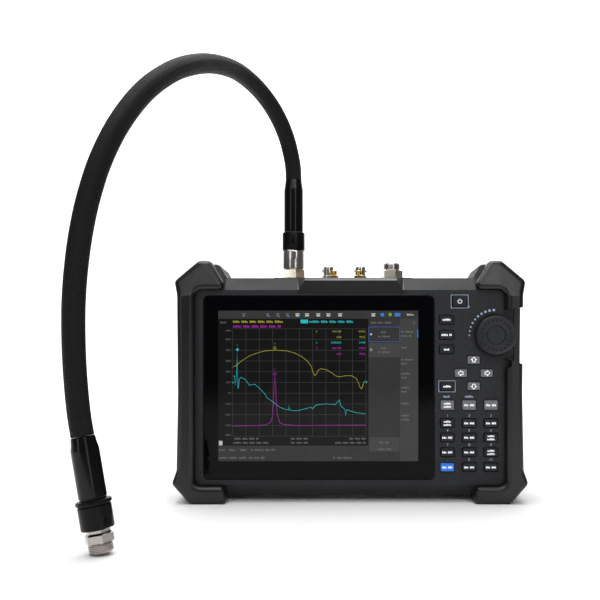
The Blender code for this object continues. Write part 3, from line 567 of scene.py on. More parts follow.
def smooth_points(route, spacing):
    """Points about spacing apart on the Catmull-Rom curve through route."""
    points = [Vector(p) for p in route]
    points = [points[0] * 2 - points[1], *points, points[-1] * 2 - points[-2]]
    fine = []
    for a, b, c, d in zip(points, points[1:], points[2:], points[3:]):
        for step in range(32):
            t = step / 32
            bend = (a * 2 - b * 5 + c * 4 - d) * t * t + (b * 3 - a - c * 3 + d) * t ** 3
            fine.append((b * 2 + (c - a) * t + bend) / 2)
    fine.append(points[-2])
    total = sum((q - p).length for p, q in zip(fine, fine[1:]))
    count = round(total / spacing)
    chosen, walked, wanted = [fine[0]], 0.0, total / count
    for p, q in zip(fine, fine[1:]):
        walked += (q - p).length
        if walked >= wanted * len(chosen) and len(chosen) < count:
            chosen.append(q)
    return [*chosen, fine[-1]]


def make_cable():
    """Braided tube with soft lengthwise folds, swept along the route without twist."""
    points = smooth_points(CABLE_ROUTE, 2.0)
    far_axis = (Vector(FAR_TIP) - points[-1]).normalized()
    tangents = [(b - a).normalized() for a, b in zip([points[0], *points], [*points[1:], points[-1]])]
    tangents[0], tangents[-1] = Vector((0, 0, 1)), far_axis
    segments, folds = 48, 5
    side = Vector((1, 0, 0))
    mesh = bmesh.new()
    weave = mesh.loops.layers.uv.new("weave")
    rings, walked = [], [0.0]
    for i, (point, tangent) in enumerate(zip(points, tangents)):
        side = (side - tangent * side.dot(tangent)).normalized()
        up = tangent.cross(side)
        if i:
            walked.append(walked[-1] + (point - points[i - 1]).length)
        ring = []
        for k in range(segments):
            a = tau * k / segments
            drift = 0.6 * sin(walked[-1] / 90)
            radius = CABLE_R - 0.10 + 0.10 * cos(folds * (a + drift)) + 0.05 * cos(11 * a + walked[-1] / 60)
            ring.append(mesh.verts.new(point + (side * cos(a) + up * sin(a)) * radius))
        rings.append(ring)
    for i, (low, high) in enumerate(zip(rings, rings[1:])):
        for k, face in enumerate(bridge(mesh, low, high)):
            spots = [(k, i), (k + 1, i), (k + 1, i + 1), (k, i + 1)]
            for loop, (around, along) in zip(face.loops, spots):
                loop[weave].uv = (around / segments, walked[along] * MM)
    for ring, flip in ((rings[0], False), (rings[-1], True)):
        mesh.faces.new(list(reversed(ring)) if flip else ring)
    tube = piece("braided_tube", mesh, braid_material(), stands_for=["test_cable"])
    return tube, [tuple(p * MM) for p in points]


def raised(profile, rise):
    return [(radius, height + rise) for radius, height in profile]


def grooved(radius, depth, low, high, pitch):
    """A profile of thread-like rings between two heights."""
    count = max(1, int((high - low) / pitch))
    step = (high - low) / count
    profile = []
    for i in range(count):
        base = low + i * step
        profile += [(radius - depth, base), (radius - depth, base + step * 0.2), (radius, base + step * 0.5)]
        profile += [(radius, base + step * 0.7)]
    return [*profile, (radius - depth, high)]


def side_bar(half, out, turn, z):
    """A square bar beside port 1, out mm in front of its axis and then turned about it."""
    bar = turned([(0, -half), (14, -half), (14, half), (0, half)], segments=4, turn=pi / 4)
    bar.transform(Matrix.Translation((0, -out, 0)))
    bar.transform(Matrix.Rotation(turn, 4, "Z"))
    bar.transform(Matrix.Translation((PORT_1_X, PORT_Y, z)))
    return bar


def make_near_end():
    centre = (PORT_1_X, PORT_Y, 0)
    nut = piece("nut_skin", turned([
        (8.25, 204.4), (9.1, 204.4), (9.5, 204.55), (9.8, 204.9), (9.8, 205.2), (9.8, 220.2), (9.6, 220.6),
        (9.2, 221.0), (6.9, 221.0), (6.9, 216.5), (8.25, 216.5),
    ], centre, segments=96), "connector_nickel", ["coupling_nut"], body="coupling_nut")
    carve(nut, *(side_bar(3.2, 18.5, turn + NUT_TURN, 216.0) for turn in (0, pi)))
    collar = piece("collar_near", turned([
        (0, 213.4), (6.4, 213.4), (6.4, 221.4), (9.4, 221.4), (9.9, 221.55), (10.2, 222.0), (10.2, 236.7),
        (10.0, 237.2), (9.6, 237.5), (0, 237.5),
    ], centre, segments=96), "collar_plastic", ["near_collar"])
    facing = Vector((sin(COLLAR_TURN), -cos(COLLAR_TURN), 0))
    pin = turned([(0, -3), (0.45, -3), (0.45, 3), (0, 3)], Vector((*centre[:2], 225.0)) + facing * 10, facing, 16)
    carve(collar, side_bar(3.4, 18.95, COLLAR_TURN, 224.7))
    carve(collar, pin)
    top = CABLE_ROUTE[0][2] - 0.3
    sleeve = piece("sleeve_near", turned([
        (0, 237.8), (8.5, 237.8), (8.5, 238.6), (8.65, 238.8), (8.65, 276.0), (8.55, 276.9), (7.9, 280.5),
        (7.5, top - 0.5), (7.4, top - 0.1), (7.1, top), (0, top),
    ], centre, segments=96), "sleeve_plastic", ["near_sleeve"])
    return [nut, collar, sleeve]


def make_far_end():
    start, tip = Vector(CABLE_ROUTE[-1]), Vector(FAR_TIP)
    axis = tip - start
    length, end = axis.length, FAR_SLEEVE
    sleeve = piece("sleeve_far", turned([
        (0, 0.3), (7.1, 0.3), (7.4, 0.4), (7.5, 0.8), (7.9, 4.5), (8.6, 8.1), (8.7, 9.0), (8.7, end), (0, end),
    ], start, axis, 96), "sleeve_plastic", ["far_sleeve"])
    collar = piece("collar_far", turned(raised([
        (0, 0.3), (8.2, 0.3), (8.2, 1.3), (8.6, 1.5), (10.4, 1.7), (10.9, 2.0), (11.0, 2.3), (11.0, 3.9), (10.9, 4.2),
        (10.5, 4.4), (9.4, 4.6), (9.4, 5.0), (10.1, 5.2), (10.3, 5.5), (10.3, 19.3), (10.1, 19.8), (9.8, 20), (0, 20),
    ], end), start, axis, 96), "collar_plastic", ["far_collar"])
    side = axis.normalized().cross(Vector((0, 1, 0))).normalized()
    facing = (Vector((0, -1, 0)) + side * 1.9).normalized()
    level = start + axis.normalized() * (end + 16)
    spot = level + facing * 12.6
    frame_matrix = axis.to_track_quat("Z", "Y").to_matrix().to_4x4()
    flat = turned([(0, -3.2), (4.5, -3.2), (4.5, 6.0), (0, 6.0)], segments=24)
    flat.transform(Matrix.Translation(spot) @ frame_matrix)
    pin = turned([(0, -6), (0.45, -6), (0.45, 6), (0, 6)], level + facing * 9, facing, 16)
    carve(collar, flat)
    carve(collar, pin)
    corner = 16.0 / sqrt(3)
    hexagon = piece("far_nut", turned(raised([
        (0, 20.3), (7.6, 20.3), (7.6, 22.2), (corner - 0.9, 22.8), (corner, 23.5), (corner, 28.3), (corner - 0.9, 29),
        (0, 29),
    ], end), start, axis, 6, radians(30)), "far_nickel", ["far_connector"])
    thread = grooved(7.75, 0.5, end + 29.4, length - 0.7, 1.06)
    barrel = piece("far_barrel", turned([
        (0, end + 29), (7.0, end + 29), *thread, (6.9, length), (4.6, length), (4.4, length - 0.3), (4.4, length - 8),
        (0, length - 8),
    ], start, axis, 72), "far_nickel")
    pin_tip = piece("far_contact", turned(raised([
        (0, -8), (1.5, -8), (1.5, -2.6), (1.2, -2.2), (0, -2.2),
    ], length), start, axis, 24), "gold_plate")
    return [sleeve, collar, hexagon, barrel, pin_tip]


# ---- connectors

def make_port(index, x, flats, hex_top, thread_top):
    corner = flats / sqrt(3)
    piece(f"port_{index}_hexagon", turned([
        (0, 184), (5.0, 184), (5.0, PLATE_TOP), (corner - 0.7, PLATE_TOP), (corner, PLATE_TOP + 0.6),
        (corner, hex_top - 0.6), (corner - 1.0, hex_top), (0, hex_top),
    ], (x, PORT_Y, 0), segments=6, turn=PORT_TURN), "port_plate", [f"port_{index}"])
    thread = grooved(7.9, 0.55, hex_top + 0.7, thread_top - 0.7, 1.06)
    piece(f"port_{index}_barrel", turned([
        (0, hex_top), (7.2, hex_top), *thread, (7.2, thread_top), (4.7, thread_top), (4.4, thread_top - 0.3),
        (4.4, thread_top - 8.5), (0, thread_top - 8.5),
    ], (x, PORT_Y, 0), segments=72), "connector_nickel")
    piece(f"port_{index}_contact", turned(raised([
        (0, -8.5), (1.6, -8.5), (1.6, -3), (1.3, -2.7), (0, -2.7),
    ], thread_top), (x, PORT_Y, 0), segments=24), "gold_plate")


def make_small_connectors():
    for index, x in enumerate(BNC_X, 1):
        top = 206.4
        piece(f"bnc_{index}_shell", turned([
            (0, 190), (4.6, 190), (4.6, PLATE_TOP), (5.6, PLATE_TOP), (5.8, 195.6), (5.8, 198.0), (5.6, 198.2),
            (4.85, 198.3), (4.85, 199.4), (4.6, 199.6), (4.6, 200.2), (4.85, 200.4), (4.85, top - 0.7),
            (4.7, top - 0.2), (4.5, top), (3.9, top), (3.7, top - 0.4), (3.7, top - 7), (0, top - 7),
        ], (x, PORT_Y, 0), segments=64), "connector_nickel", [f"bnc_{index}"])
        piece(f"bnc_{index}_lugs", turned([
            (0, -5.9), (0.9, -5.9), (1.0, -5.7), (1.0, 5.7), (0.9, 5.9), (0, 5.9),
        ], (x, PORT_Y, 203.2), (1, 0, 0), 20), "connector_nickel")
        piece(f"bnc_{index}_contact", turned(raised([
            (0, -7), (2.6, -7), (2.6, -2.0), (2.2, -1.8), (1.1, -1.8), (1.1, -0.9), (0, -0.9),
        ], top), (x, PORT_Y, 0), segments=24), "gold_plate")
    for index, x in enumerate(SMA_X, 1):
        corner = 8 / sqrt(3)
        piece(f"sma_{index}_nut", turned([
            (0, 188), (2.6, 188), (2.6, PLATE_TOP), (corner - 0.3, PLATE_TOP), (corner, PLATE_TOP + 0.3),
            (corner, 197.3), (corner - 0.4, 197.6), (0, 197.6),
        ], (x, SMA_Y, 0), segments=6, turn=radians(30)), "gold_plate", [f"sma_{index}"])
        thread = grooved(3.175, 0.3, 197.9, 201.7, 0.7)
        piece(f"sma_{index}_barrel", turned([
            (0, 197.6), (2.8, 197.6), *thread, (2.8, 202), (2.3, 202), (2.3, 200.8), (0, 200.8),
        ], (x, SMA_Y, 0), segments=40), "gold_plate")


# ---- housing

def case_corners(front=False):
    if front:
        left = [
            (-107.2, PANEL_TOP, 3), (-114.5, PANEL_TOP, 3), (-131.0, PANEL_TOP, 3),
            (-PANEL_HALF, PANEL_TOP - 7, 4), (-PANEL_HALF, PANEL_BOTTOM + 7, 4),
            (-132.0, PANEL_BOTTOM, 3), (-105.5, PANEL_BOTTOM, 1.5), (-101.0, PANEL_BOTTOM, 1.5),
        ]
    else:
        left = [
            (-107.2, CASE_TOP, 3), (-113.6, 204.8, 3), (-128.3, 204.8, 4), (-CASE_HALF, 192.2, 4),
            (-CASE_HALF, 11.0, 4), (-134.3, 2.6, 3), (-104.5, 2.6, 1.5), (-101.5, CASE_BOTTOM, 1.5),
        ]
    return left + mirrored(left)


def case_block(grow):
    """The case's outer shape, grown a little, as a tool."""
    full, face = case_corners(), case_corners(front=True)
    return slab([
        (PANEL_Y - grow, face, -grow), (SHOULDER_Y, full, -grow), (CASE_BACK - 6, full, -grow),
        (CASE_BACK - 1.5, full, 1.6 - grow), (CASE_BACK + grow, full, 4.0 - grow),
    ])


def bumper_corners(lift):
    top = 207.6 + lift
    return [
        (-119.8, top, 5), (-130.1 - lift, top, 7), (-150.7, 189.5, 5), (-146.7, 176.5, 12),
        (-146.0, 94.0, 30), (-147.2, 28.3, 6), (-151.2, 17.0, 4.5), (-136.0, 0.0, 5.5),
        (-104.8, 0.0, 3.2), (-106.4, 15.0, 4.5), (-132.0, 15.0, 6.5), (-132.0, 181.5, 6),
        (-103.9, 181.5, 4.8),
    ]


def shape_pads(mesh):
    """Tilts the upper pads back, and their outer part a little outwards."""
    inner, low = 127, 176
    for side in (-1, 1):
        cross_cut(mesh, inner, Vector((side, 0, 0)))
    cross_cut(mesh, low, Vector((0, 0, 1)))
    for vert in mesh.verts:
        if vert.co.y < 8 and vert.co.z > low:
            out, up = max(abs(vert.co.x) - inner, 0), vert.co.z - low
            vert.co.y += 0.28 * up + 0.13 * out * min(up / 10, 1)


def sink_rail(mesh, side):
    """Lowers the front of the rail between the corner pads, through a soft slope at each end."""
    slopes = [
        (Vector((side * 0.5, 0, 0.866)), 82.7, 89.8),
        (Vector((-side * 0.25, 0, -0.968)), -62.5, -56.0),
    ]
    for direction, low, high in slopes:
        for i in range(7):
            cross_cut(mesh, low + (high - low) * i / 6, direction)
    for vert in mesh.verts:
        if vert.co.y > BUMPER_FRONT + 6:
            continue
        depth = 1.0
        for direction, low, high in slopes:
            share = min(max((high - vert.co.dot(direction)) / (high - low), 0), 1)
            depth *= share * share * (3 - 2 * share)
        fade = 1 - (vert.co.y - BUMPER_FRONT) / 6
        vert.co.y += 1.5 * depth * fade


def make_bumpers():
    for name, side in (("left_bumper", -1), ("right_bumper", 1)):
        flip = mirrored if side > 0 else list
        front, back = flip(bumper_corners(0)), flip(bumper_corners(2.8))
        layers = [(BUMPER_FRONT, front, 5.2), *rolled(BUMPER_FRONT, 4.4, front, 6)]
        layers += [(8, front, 0), (12, back, 0.9), (17, back, 0.1), (20, back, 0)]
        layers += [(BUMPER_BACK - 3.5, back, 0), (BUMPER_BACK - 1.8, back, 0.5), (BUMPER_BACK - 0.5, back, 1.8)]
        layers += [(BUMPER_BACK, back, 3.2)]
        mesh = slab(layers, 7)
        shape_pads(mesh)
        sink_rail(mesh, side)
        bumper = piece(f"{name}_skin", mesh, "bumper_rubber", [name])
        carve(bumper, case_block(0.5))
        if side < 0:
            window = [(-160, 62), (-140, 62), (-140, 132), (-160, 132)]
            carve(bumper, lofted([[(x, y, z) for x, z in window] for y in (-14, 20)]))
        else:
            relief = [(128.0, 124.4), (146.0, 118.5), (170.0, 118.5), (170.0, 171.0), (128.0, 163.4)]
            carve(bumper, lofted([[(x, y, z) for x, z in relief] for y in (BUMPER_FRONT - 5, -24.5)]))
            scoop = turned([(0, -43), (3.6, -43), (3.6, -27), (0, -27)], (133.0, 0, 119.0), (0, 1, 0), 32)
            carve(bumper, scoop)


def make_badge():
    """Blank plate on the top chamfer: a wedge with slanting ends."""
    front, low = PANEL_Y - 1.0, 179.6
    outline = [
        (45.0, front, low), (39.6, front, 189.8), (39.0, -27.5, 192.3), (39.0, -18.8, 193.6), (45.8, -18.4, 193.45),
        (45.8, PANEL_Y - 0.25, 181.9), (45.8, PANEL_Y - 0.25, low - 0.1),
    ]
    wedge = bmesh.new()
    rows = [[wedge.verts.new((side * half + 0.6, y, z)) for side in (-1, 1)] for half, y, z in outline]
    for a, b in zip(rows, rows[1:] + rows[:1]):
        wedge.faces.new((a[0], a[1], b[1], b[0]))
    sides = [wedge.faces.new([row[k] for row in rows]) for k in (0, 1)]
    bmesh.ops.triangulate(wedge, faces=sides)
    piece("badge_wedge", wedge, "badge_plastic", ["name_plate"])


def make_knob():
    centre = (KNOB_X, 0, KNOB_Z)

    def knurl(radius, height, angle):
        if radius > KNOB_R - 0.3 and KNOB_FRONT + 1.2 < height < KNOB_BACK - 0.4:
            return -0.28 * (1 + cos(36 * angle)) / 2
        return 0.0

    profile = raised([
        (0, 0.55), (6.6, 0.5), (7.3, 0.55), (7.6, 0.85), (7.8, 1.3), (8.0, 1.3), (8.2, 0.8), (8.5, 0.65), (14.3, 0.75),
        (14.8, 0.6), (15.2, 0.15), (15.6, 0), (16.0, 0.1), (16.4, 0.45), (16.7, 1.0), (KNOB_R, 1.3), (KNOB_R, 2.2),
    ], KNOB_FRONT)
    profile += raised([(KNOB_R, -1.6), (KNOB_R, -0.8), (16.2, 0), (3.3, 0)], KNOB_BACK)
    profile += raised([(3.3, 2.1), (0, 2.1)], KNOB_FRONT)
    cap = turned(profile, centre, (0, 1, 0), 288, ripple=knurl)
    knob = piece("knob_cap", cap, "knob_plastic", ["jog_knob"], body="jog_knob")
    dimple = [(0, -0.62), (0.45, -0.5), (0.75, -0.1), (0.8, 1.4), (0, 1.4)]
    dimples = []
    for index in range(22):
        turn = tau * (index + 0.5) / 22
        spot = (KNOB_X + 12.6 * cos(turn), KNOB_FRONT + 1.0, KNOB_Z + 12.6 * sin(turn))
        dimples.append(turned(dimple, spot, (0, -1, 0), 12))
    carve(knob, *dimples)


def key_finish(name):
    if name == "key_bottom_left":
        return "key_blue"
    return "key_grey" if "arrow" in name or "function" in name else "key_dark"


def make_keys():
    two_lines = ("key_function_left", "key_top_left", "key_upper_right", "key_lower_right")
    lengths = {"key_measure": 7.0, "key_format": 9.0, "key_calibrate": 4.6, "key_lock": 6.6}
    for name, x, z, width, height in KEYS:
        cap = box_corners((x - width / 2, x + width / 2), (z - height / 2, z + height / 2), 1.1)
        edge = ((0, 1.2), (0, 0.9), (0.04, 0.69), (0.13, 0.51), (0.3, 0.39), (0.6, 0.35))
        layers = [(KEY_FRONT + depth, cap, inset) for depth, inset in edge]
        layers += [(PANEL_Y + 3.3, cap, 0.35), (PANEL_Y + 3.35, cap, -0.8), (KEY_BACK, cap, -0.8)]
        piece(f"cap_{name}", slab(layers, 4), key_finish(name), [name], body=name)
        marks = bmesh.new()
        face = KEY_FRONT
        if name == "key_power":
            add_line(marks, circle(x, z, 1.7, [radians(a) for a in range(125, 416, 15)]), 0.42, face)
            add_box(marks, (x - 0.22, x + 0.22), (z + 0.3, z + 2.4), face)
        elif "arrow" in name:
            turn = {"up": 0, "left": 90, "down": 180, "right": 270}[name.split("_")[-1]]
            outline = [(0, 2.5), (2.3, 0.2), (1.1, 0.2), (1.1, -1.7), (-1.1, -1.7), (-1.1, 0.2), (-2.3, 0.2), (0, 2.5)]
            c, s = cos(radians(turn)), sin(radians(turn))
            add_line(marks, [(x + u * c - v * s, z + u * s + v * c) for u, v in outline], 0.5, face)
        elif name in two_lines:
            add_words(marks, x - 3.0, z + 1.35, 6.0, 1.7, face)
            add_words(marks, x - 3.2, z - 1.35, 6.4, 1.7, face)
        else:
            wide = lengths.get(name, 8.6)
            add_words(marks, x - wide / 2, z, wide, 1.9, face)
        piece(f"legend_{name}", marks, "glowing_white_ink", body=name)


def make_panel_marks():
    marks = bmesh.new()
    for index in range(10):
        turn = radians(180 - 9.8 * index)
        add_disc(marks, KNOB_X + 21.6 * cos(turn), KNOB_Z + 21.6 * sin(turn), 0.6 + 0.065 * index, PANEL_Y)
    rows = (("123", 74.5), ("456", 61.8), ("789", 49.5))
    signs = [(text, x, z) for row, z in rows for text, (_, x) in zip(row, PAD_COLUMNS)]
    for text, x, z in [*signs, (".", 83.0, 37.0), ("0", 101.6, 36.9), ("+/-", 120.2, 36.9)]:
        add_text(marks, text, x, z, 2.3, PANEL_Y, slant=0.15)
    add_words(marks, 79.9, 90.8, 5.2, 1.9, PANEL_Y)
    add_words(marks, 98.2, 90.8, 7.0, 1.9, PANEL_Y)
    for _, x, z, width, height in [key for key in KEYS if key[0] in ("key_power", "key_lock")]:
        half_x, half_z = width / 2 + 1.1, height / 2 + 1.1
        add_frame(marks, (x - half_x, x + half_x), (z - half_z, z + half_z), 0.4, PANEL_Y)
    piece("panel_marks", marks, "glowing_blue_grey_ink")


# ---- display

def make_display():
    glass = box_corners(GLASS_X, GLASS_Z, 4)
    edge = ((0, 1.0), (0, 0.35), (0.1, 0.12), (0.35, 0), (1.8, 0))
    layers = [(GLASS_Y + depth, glass, inset) for depth, inset in edge]
    piece("glass_sheet", slab(layers, 6), "display_glass", ["display_glass"])


def on_screen(across, down):
    """Panel x and z of a point given as millimetres right of and below the screen's upper left corner."""
    return SCREEN_LEFT + across, SCREEN_TOP - down


def screen_box(mesh, across, down, face):
    x0, z1 = on_screen(across[0], down[0])
    x1, z0 = on_screen(across[1], down[1])
    add_box(mesh, (x0, x1), (z0, z1), face, SCREEN_THICK)


def screen_words(mesh, across, down, face, height):
    x, z = on_screen(across[0], down)
    add_words(mesh, x, z, across[1] - across[0], height, face, 0.72, SCREEN_THICK)


def screen_line(mesh, points, width, face):
    add_line(mesh, [on_screen(*p) for p in points], width, face, SCREEN_THICK)


def screen_number(mesh, text, across, down, face, align="RIGHT", height=1.7):
    x, z = on_screen(across, down)
    add_text(mesh, text, x, z, height, face, align, thick=SCREEN_THICK)


GRID_LEFT, GRID_TOP, GRID_WIDE, GRID_HIGH = 12.3, 15.4, 113.7, 91.7
# Traces, in grid squares from the grid's upper left corner
YELLOW = [
    (0.03, 3.56), (0.33, 3.36), (0.66, 3.01), (1.3, 2.5), (2.0, 2.2), (2.5, 2.05), (3.2, 2.0), (4.0, 2.05), (4.6, 2.23),
    (5.2, 2.6), (5.6, 3.0), (5.9, 3.5), (6.04, 4.05), (6.17, 4.38), (6.3, 4.2), (6.4, 3.9), (6.65, 3.71), (7.05, 3.83),
    (7.5, 4.15), (7.77, 4.41), (8.05, 4.47), (8.5, 4.37), (8.93, 4.37), (9.25, 4.6), (9.45, 5.0), (9.53, 5.4),
    (9.67, 5.6), (9.78, 5.3), (9.86, 4.93), (10.0, 4.84),
]
CYAN = [
    (0.03, 4.42), (0.14, 4.38), (0.22, 5.32), (0.29, 4.2), (0.35, 2.1), (0.40, 5.5), (0.44, 5.52), (0.48, 4.8),
    (0.6, 4.52), (0.88, 4.66), (1.05, 4.86), (1.24, 5.25), (1.68, 5.17), (2.0, 5.52), (2.48, 6.16), (2.54, 6.38),
    (3.1, 6.88), (3.53, 7.29), (3.97, 7.52), (4.2, 7.56), (4.23, 7.16), (4.28, 7.56), (4.52, 7.64), (5.0, 7.6),
    (5.3, 7.5), (5.9, 7.3), (5.98, 7.47), (6.1, 7.3), (6.3, 7.08), (7.05, 7.0), (7.7, 7.05), (8.02, 6.62),
    (8.12, 7.19), (8.41, 7.49), (8.49, 8.1), (8.55, 7.53), (9.25, 7.81), (10.0, 7.93),
]
MAGENTA = [
    (0.0, 9.06), (1.65, 9.01), (2.53, 8.95), (2.86, 8.7), (3.0, 8.15), (3.06, 6.9), (3.12, 5.0), (3.17, 4.25),
    (3.22, 5.0), (3.28, 6.9), (3.36, 8.0), (3.52, 8.7), (3.85, 8.92), (4.74, 9.01), (10.0, 8.96),
]


def in_grid(point):
    return GRID_LEFT + GRID_WIDE * point[0] / 10, GRID_TOP + GRID_HIGH * point[1] / 10


def make_screen():
    # Each layer of marks stands in front of the one it covers
    levels = [GLASS_Y - SCREEN_THICK * i for i in range(6)]
    base = bmesh.new()
    screen_box(base, (0, SCREEN_WIDE), (0, SCREEN_HIGH), levels[0])
    piece("screen_field", base, "screen")
    bars, menu, tabs, grid = bmesh.new(), bmesh.new(), bmesh.new(), bmesh.new()
    screen_box(bars, (0, SCREEN_WIDE), (0, 6.9), levels[1])
    screen_box(bars, (0, 128.2), (115.2, SCREEN_HIGH), levels[1])
    piece("screen_bars", bars, "lit_bar")
    screen_box(menu, (128.2, 155.2), (7.0, SCREEN_HIGH), levels[1])
    piece("screen_menu", menu, "lit_menu")
    screen_box(tabs, (155.2, SCREEN_WIDE), (13.4, SCREEN_HIGH), levels[1])
    screen_box(tabs, (155.2, SCREEN_WIDE), (7.0, 13.4), levels[1])
    piece("screen_tabs", tabs, "lit_tabs")
    for i in range(11):
        across, down = GRID_LEFT + GRID_WIDE * i / 10, GRID_TOP + GRID_HIGH * i / 10
        screen_box(grid, (across - 0.14, across + 0.14), (GRID_TOP, GRID_TOP + GRID_HIGH), levels[1])
        screen_box(grid, (GRID_LEFT, GRID_LEFT + GRID_WIDE), (down - 0.14, down + 0.14), levels[1])
    for across, down in (((128.4, 154.9), (27.6, 39.7)), ((129.1, 154.6), (108.0, 120.2))):
        screen_box(grid, across, down, levels[2])
    piece("screen_grid", grid, "lit_grid")

    yellow, cyan, magenta = bmesh.new(), bmesh.new(), bmesh.new()
    screen_line(magenta, [in_grid(p) for p in MAGENTA], TRACE_WIDTH, levels[2])
    screen_line(cyan, [in_grid(p) for p in CYAN], TRACE_WIDTH, levels[3])
    screen_line(yellow, [in_grid(p) for p in YELLOW], TRACE_WIDTH, levels[4])
    markers = ((yellow, (3.17, 1.8), False), (magenta, (3.16, 4.2), False), (cyan, (0.36, 1.95), True))
    for mesh, spot, filled in markers:
        across, down = in_grid(spot)
        diamond = [(across, down - 1.5), (across + 1.3, down), (across, down + 1.5), (across - 1.3, down)]
        if filled:
            add_prism(mesh, [on_screen(*p) for p in reversed(diamond)], levels[4], SCREEN_THICK)
        else:
            screen_line(mesh, [*diamond, diamond[0]], TRACE_WIDTH, levels[5])
        screen_number(mesh, "1", across, down - 3.7, levels[4], "CENTER", SCREEN_PRINT)
    for across, down, way in ((11.9, 61.3, -1), (127.4, 61.0, 1)):
        outline = [(across, down), (across + way * -1.3, down - 0.9), (across + way * -1.3, down + 0.9)]
        outline = outline if way > 0 else reversed(outline)
        add_prism(cyan, [on_screen(*p) for p in outline], levels[3], SCREEN_THICK)

    screen_words(yellow, (12.7, 55.5), 9.4, levels[2], 2.0)
    screen_words(magenta, (12.7, 53.7), 13.4, levels[2], 2.0)
    screen_box(cyan, (70.3, 76.7), (7.7, 10.8), levels[2])
    screen_words(cyan, (77.7, 115.3), 9.4, levels[2], 2.0)
    for mesh, down, index, reading, value in (
        (yellow, 17.8, "1:", "633.165", "-0.033"), (yellow, 22.6, "", "2.00", "70.55"),
        (cyan, 27.3, "1:", "8.000000", "0.398"), (magenta, 32.0, "1:", "633.165", "918.2"),
        (magenta, 36.9, "", "2.00", "70.55"),
    ):
        if index:
            screen_number(mesh, index, 84.8, down, levels[2])
        screen_number(mesh, reading, 105.0, down, levels[2])
        screen_number(mesh, value, 125.4, down, levels[2])
    for name, mesh in (("yellow", yellow), ("cyan", cyan), ("magenta", magenta)):
        piece(f"screen_{name}", mesh, f"lit_{name}")

    white, dim, blue, green = bmesh.new(), bmesh.new(), bmesh.new(), bmesh.new()
    for i in range(11):
        down = GRID_TOP + GRID_HIGH * i / 10 + (1.6 if i == 0 else -1.0 if i == 10 else 0)
        screen_number(dim, f"{600 - 100 * i}.0", 10.9, down, levels[2], height=1.5)
    for down, *edges in (
        (109.2, 13.7, 34.6, 62.1, 76.5, 112.2, 126.0), (112.7, 12.7, 43.2, 62.1, 76.5, 99.7, 126.0), (10.0, 2.0, 7.0),
        (118.8, 0.8, 5.8, 9.1, 14.5, 18.8, 24.5, 27.9, 38.6, 40.5, 48.6),
        (125.5, 0.6, 7.5, 9.1, 16.0, 17.7, 24.2, 26.4, 39.8, 97.9, 113.8),
    ):
        for across in zip(edges[::2], edges[1::2]):
            screen_words(dim, across, down, levels[2], SCREEN_PRINT)
    tab_words = (
        (166.4, 18.0), (165.0, 21.5), (161.1, 31.5), (166.4, 41.8), (161.1, 45.2), (163.6, 53.7), (161.1, 57.1),
        (162.9, 65.6), (161.1, 69.0), (162.9, 79.2), (163.1, 89.5), (163.1, 92.9),
    )
    for left, right, down in (
        (130.5, 148.0, 10.2), (138.9, 143.2, 18.3), (136.6, 146.7, 22.0), (138.9, 143.2, 31.9), (136.6, 146.7, 35.3),
        *((156.2, *spot) for spot in tab_words), (137.3, 145.8, 112.5), (135.7, 148.0, 118.1),
    ):
        screen_words(dim, (left, right), down, levels[3], SCREEN_PRINT)
    for start, end in (((166.2, 9.2), (168.2, 11.2)), ((168.2, 9.2), (166.2, 11.2))):
        screen_line(dim, [start, end], 0.3, levels[3])
    for across in (20.5, 41.0, 49.5, 57.7, 65.9, 74.0, 83.6, 92.2, 102.2, 130.6):
        wide = 3.6 if across > 60 else 2.6
        target = white if across > 60 else dim
        screen_box(target, (across, across + wide), (2.3, 3.0), levels[2])
        screen_box(target, (across + 0.3, across + wide - 0.3), (3.4, 4.9), levels[2])
    screen_box(white, (0.6, 3.6), (111.1, 114.9), levels[2])
    for across, wide in ((138.5, 3.0), (150.5, 5.0)):
        screen_box(blue, (across, across + wide), (2.0, 4.9), levels[2])
    for across in (43.2, 51.5, 59.7, 67.9):
        screen_box(blue, (across, across + 1.0), (4.4, 5.4), levels[3])
    screen_box(green, (145.5, 147.9), (2.0, 4.5), levels[2])
    screen_box(blue, (169.8, SCREEN_WIDE), (15.8, 23.0), levels[3])
    x0, z1 = on_screen(128.3, 13.8)
    x1, z0 = on_screen(155.0, 26.6)
    add_frame(blue, (x0, x1), (z0, z1), 0.25, levels[3], SCREEN_THICK)
    x, z = on_screen(130.4, 20.2)
    add_disc(white, x, z, 0.9, levels[3], thick=SCREEN_THICK)
    x, z = on_screen(130.4, 33.4)
    add_line(white, circle(x, z, 0.9, [tau * i / 12 for i in range(13)]), 0.3, levels[3], SCREEN_THICK)
    screen_words(white, (161.0, 167.0), 3.4, levels[2], SCREEN_PRINT)
    for name, mesh in (("white", white), ("dim", dim), ("blue", blue), ("green", green)):
        piece(f"screen_{name}", mesh, f"lit_{name}")


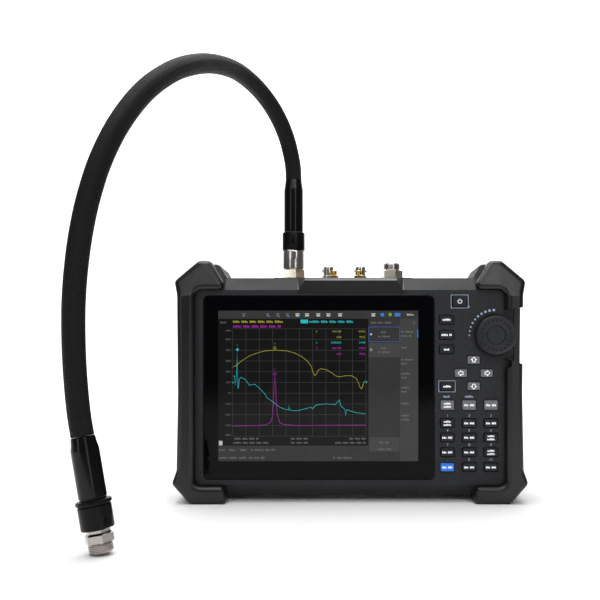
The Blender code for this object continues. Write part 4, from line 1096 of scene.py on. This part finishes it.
# ---- the CAD nodes that stay in sight

CARRIED = {
    "case_plastic": ("front_case", "rear_case", "connector_panel", "battery_cover", "kickstand"),
    "bumper_rubber": ("side_door",),
    "screen": ("lcd_module",),
    "silicone": ("key_membrane",),
    "circuit_board": ("keypad_board", "main_board"),
    "shield_can": ("encoder_body", "network_jack", "usb_jack"),
    "shaft_steel": ("encoder_plunger",),
    "led_lens": ("power_lamp",),
    "battery_wrap": ("battery_pack",),
    "fan_plastic": ("fan_frame", "fan_rotor"),
}


def finish_carried():
    for finish, names in CARRIED.items():
        for name in names:
            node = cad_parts[name]
            node.data.materials.clear()
            node.data.materials.append(material(finish))


def make_screws():
    """Socket screws that hold the rear shell."""
    spots = [(-128, 22), (128, 22), (-128, 172), (128, 172), (-70, 112), (70, 112), (-70, 24), (70, 24)]
    for index, (x, z) in enumerate(spots, 1):
        seat = (x, CASE_BACK - 0.4, z)
        head = turned([(0, -1.0), (2.8, -1.0), (2.8, 0.6), (2.5, 0.9), (0, 0.9)], seat, (0, 1, 0), 32)
        screw = piece(f"case_screw_{index}", head, "shaft_steel")
        carve(screw, turned([(0, -0.2), (1.3, -0.2), (1.3, 3), (0, 3)], seat, (0, 1, 0), 6))


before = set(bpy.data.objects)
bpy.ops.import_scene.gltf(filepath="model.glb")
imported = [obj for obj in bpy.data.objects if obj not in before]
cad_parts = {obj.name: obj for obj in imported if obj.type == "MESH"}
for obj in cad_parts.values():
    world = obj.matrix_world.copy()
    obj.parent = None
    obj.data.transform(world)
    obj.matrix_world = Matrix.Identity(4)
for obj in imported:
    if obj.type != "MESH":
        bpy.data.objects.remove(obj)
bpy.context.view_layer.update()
make_camera()
make_studio()
tube, path = make_cable()
ends = make_near_end() + make_far_end()
make_port(1, PORT_1_X, 18.1, 203.9, 213.0)
make_port(2, PORT_2_X, 17.6, 203.4, 209.4)
make_small_connectors()
make_bumpers()
make_badge()
make_knob()
make_keys()
make_panel_marks()
make_display()
make_screen()
make_screws()
finish_carried()
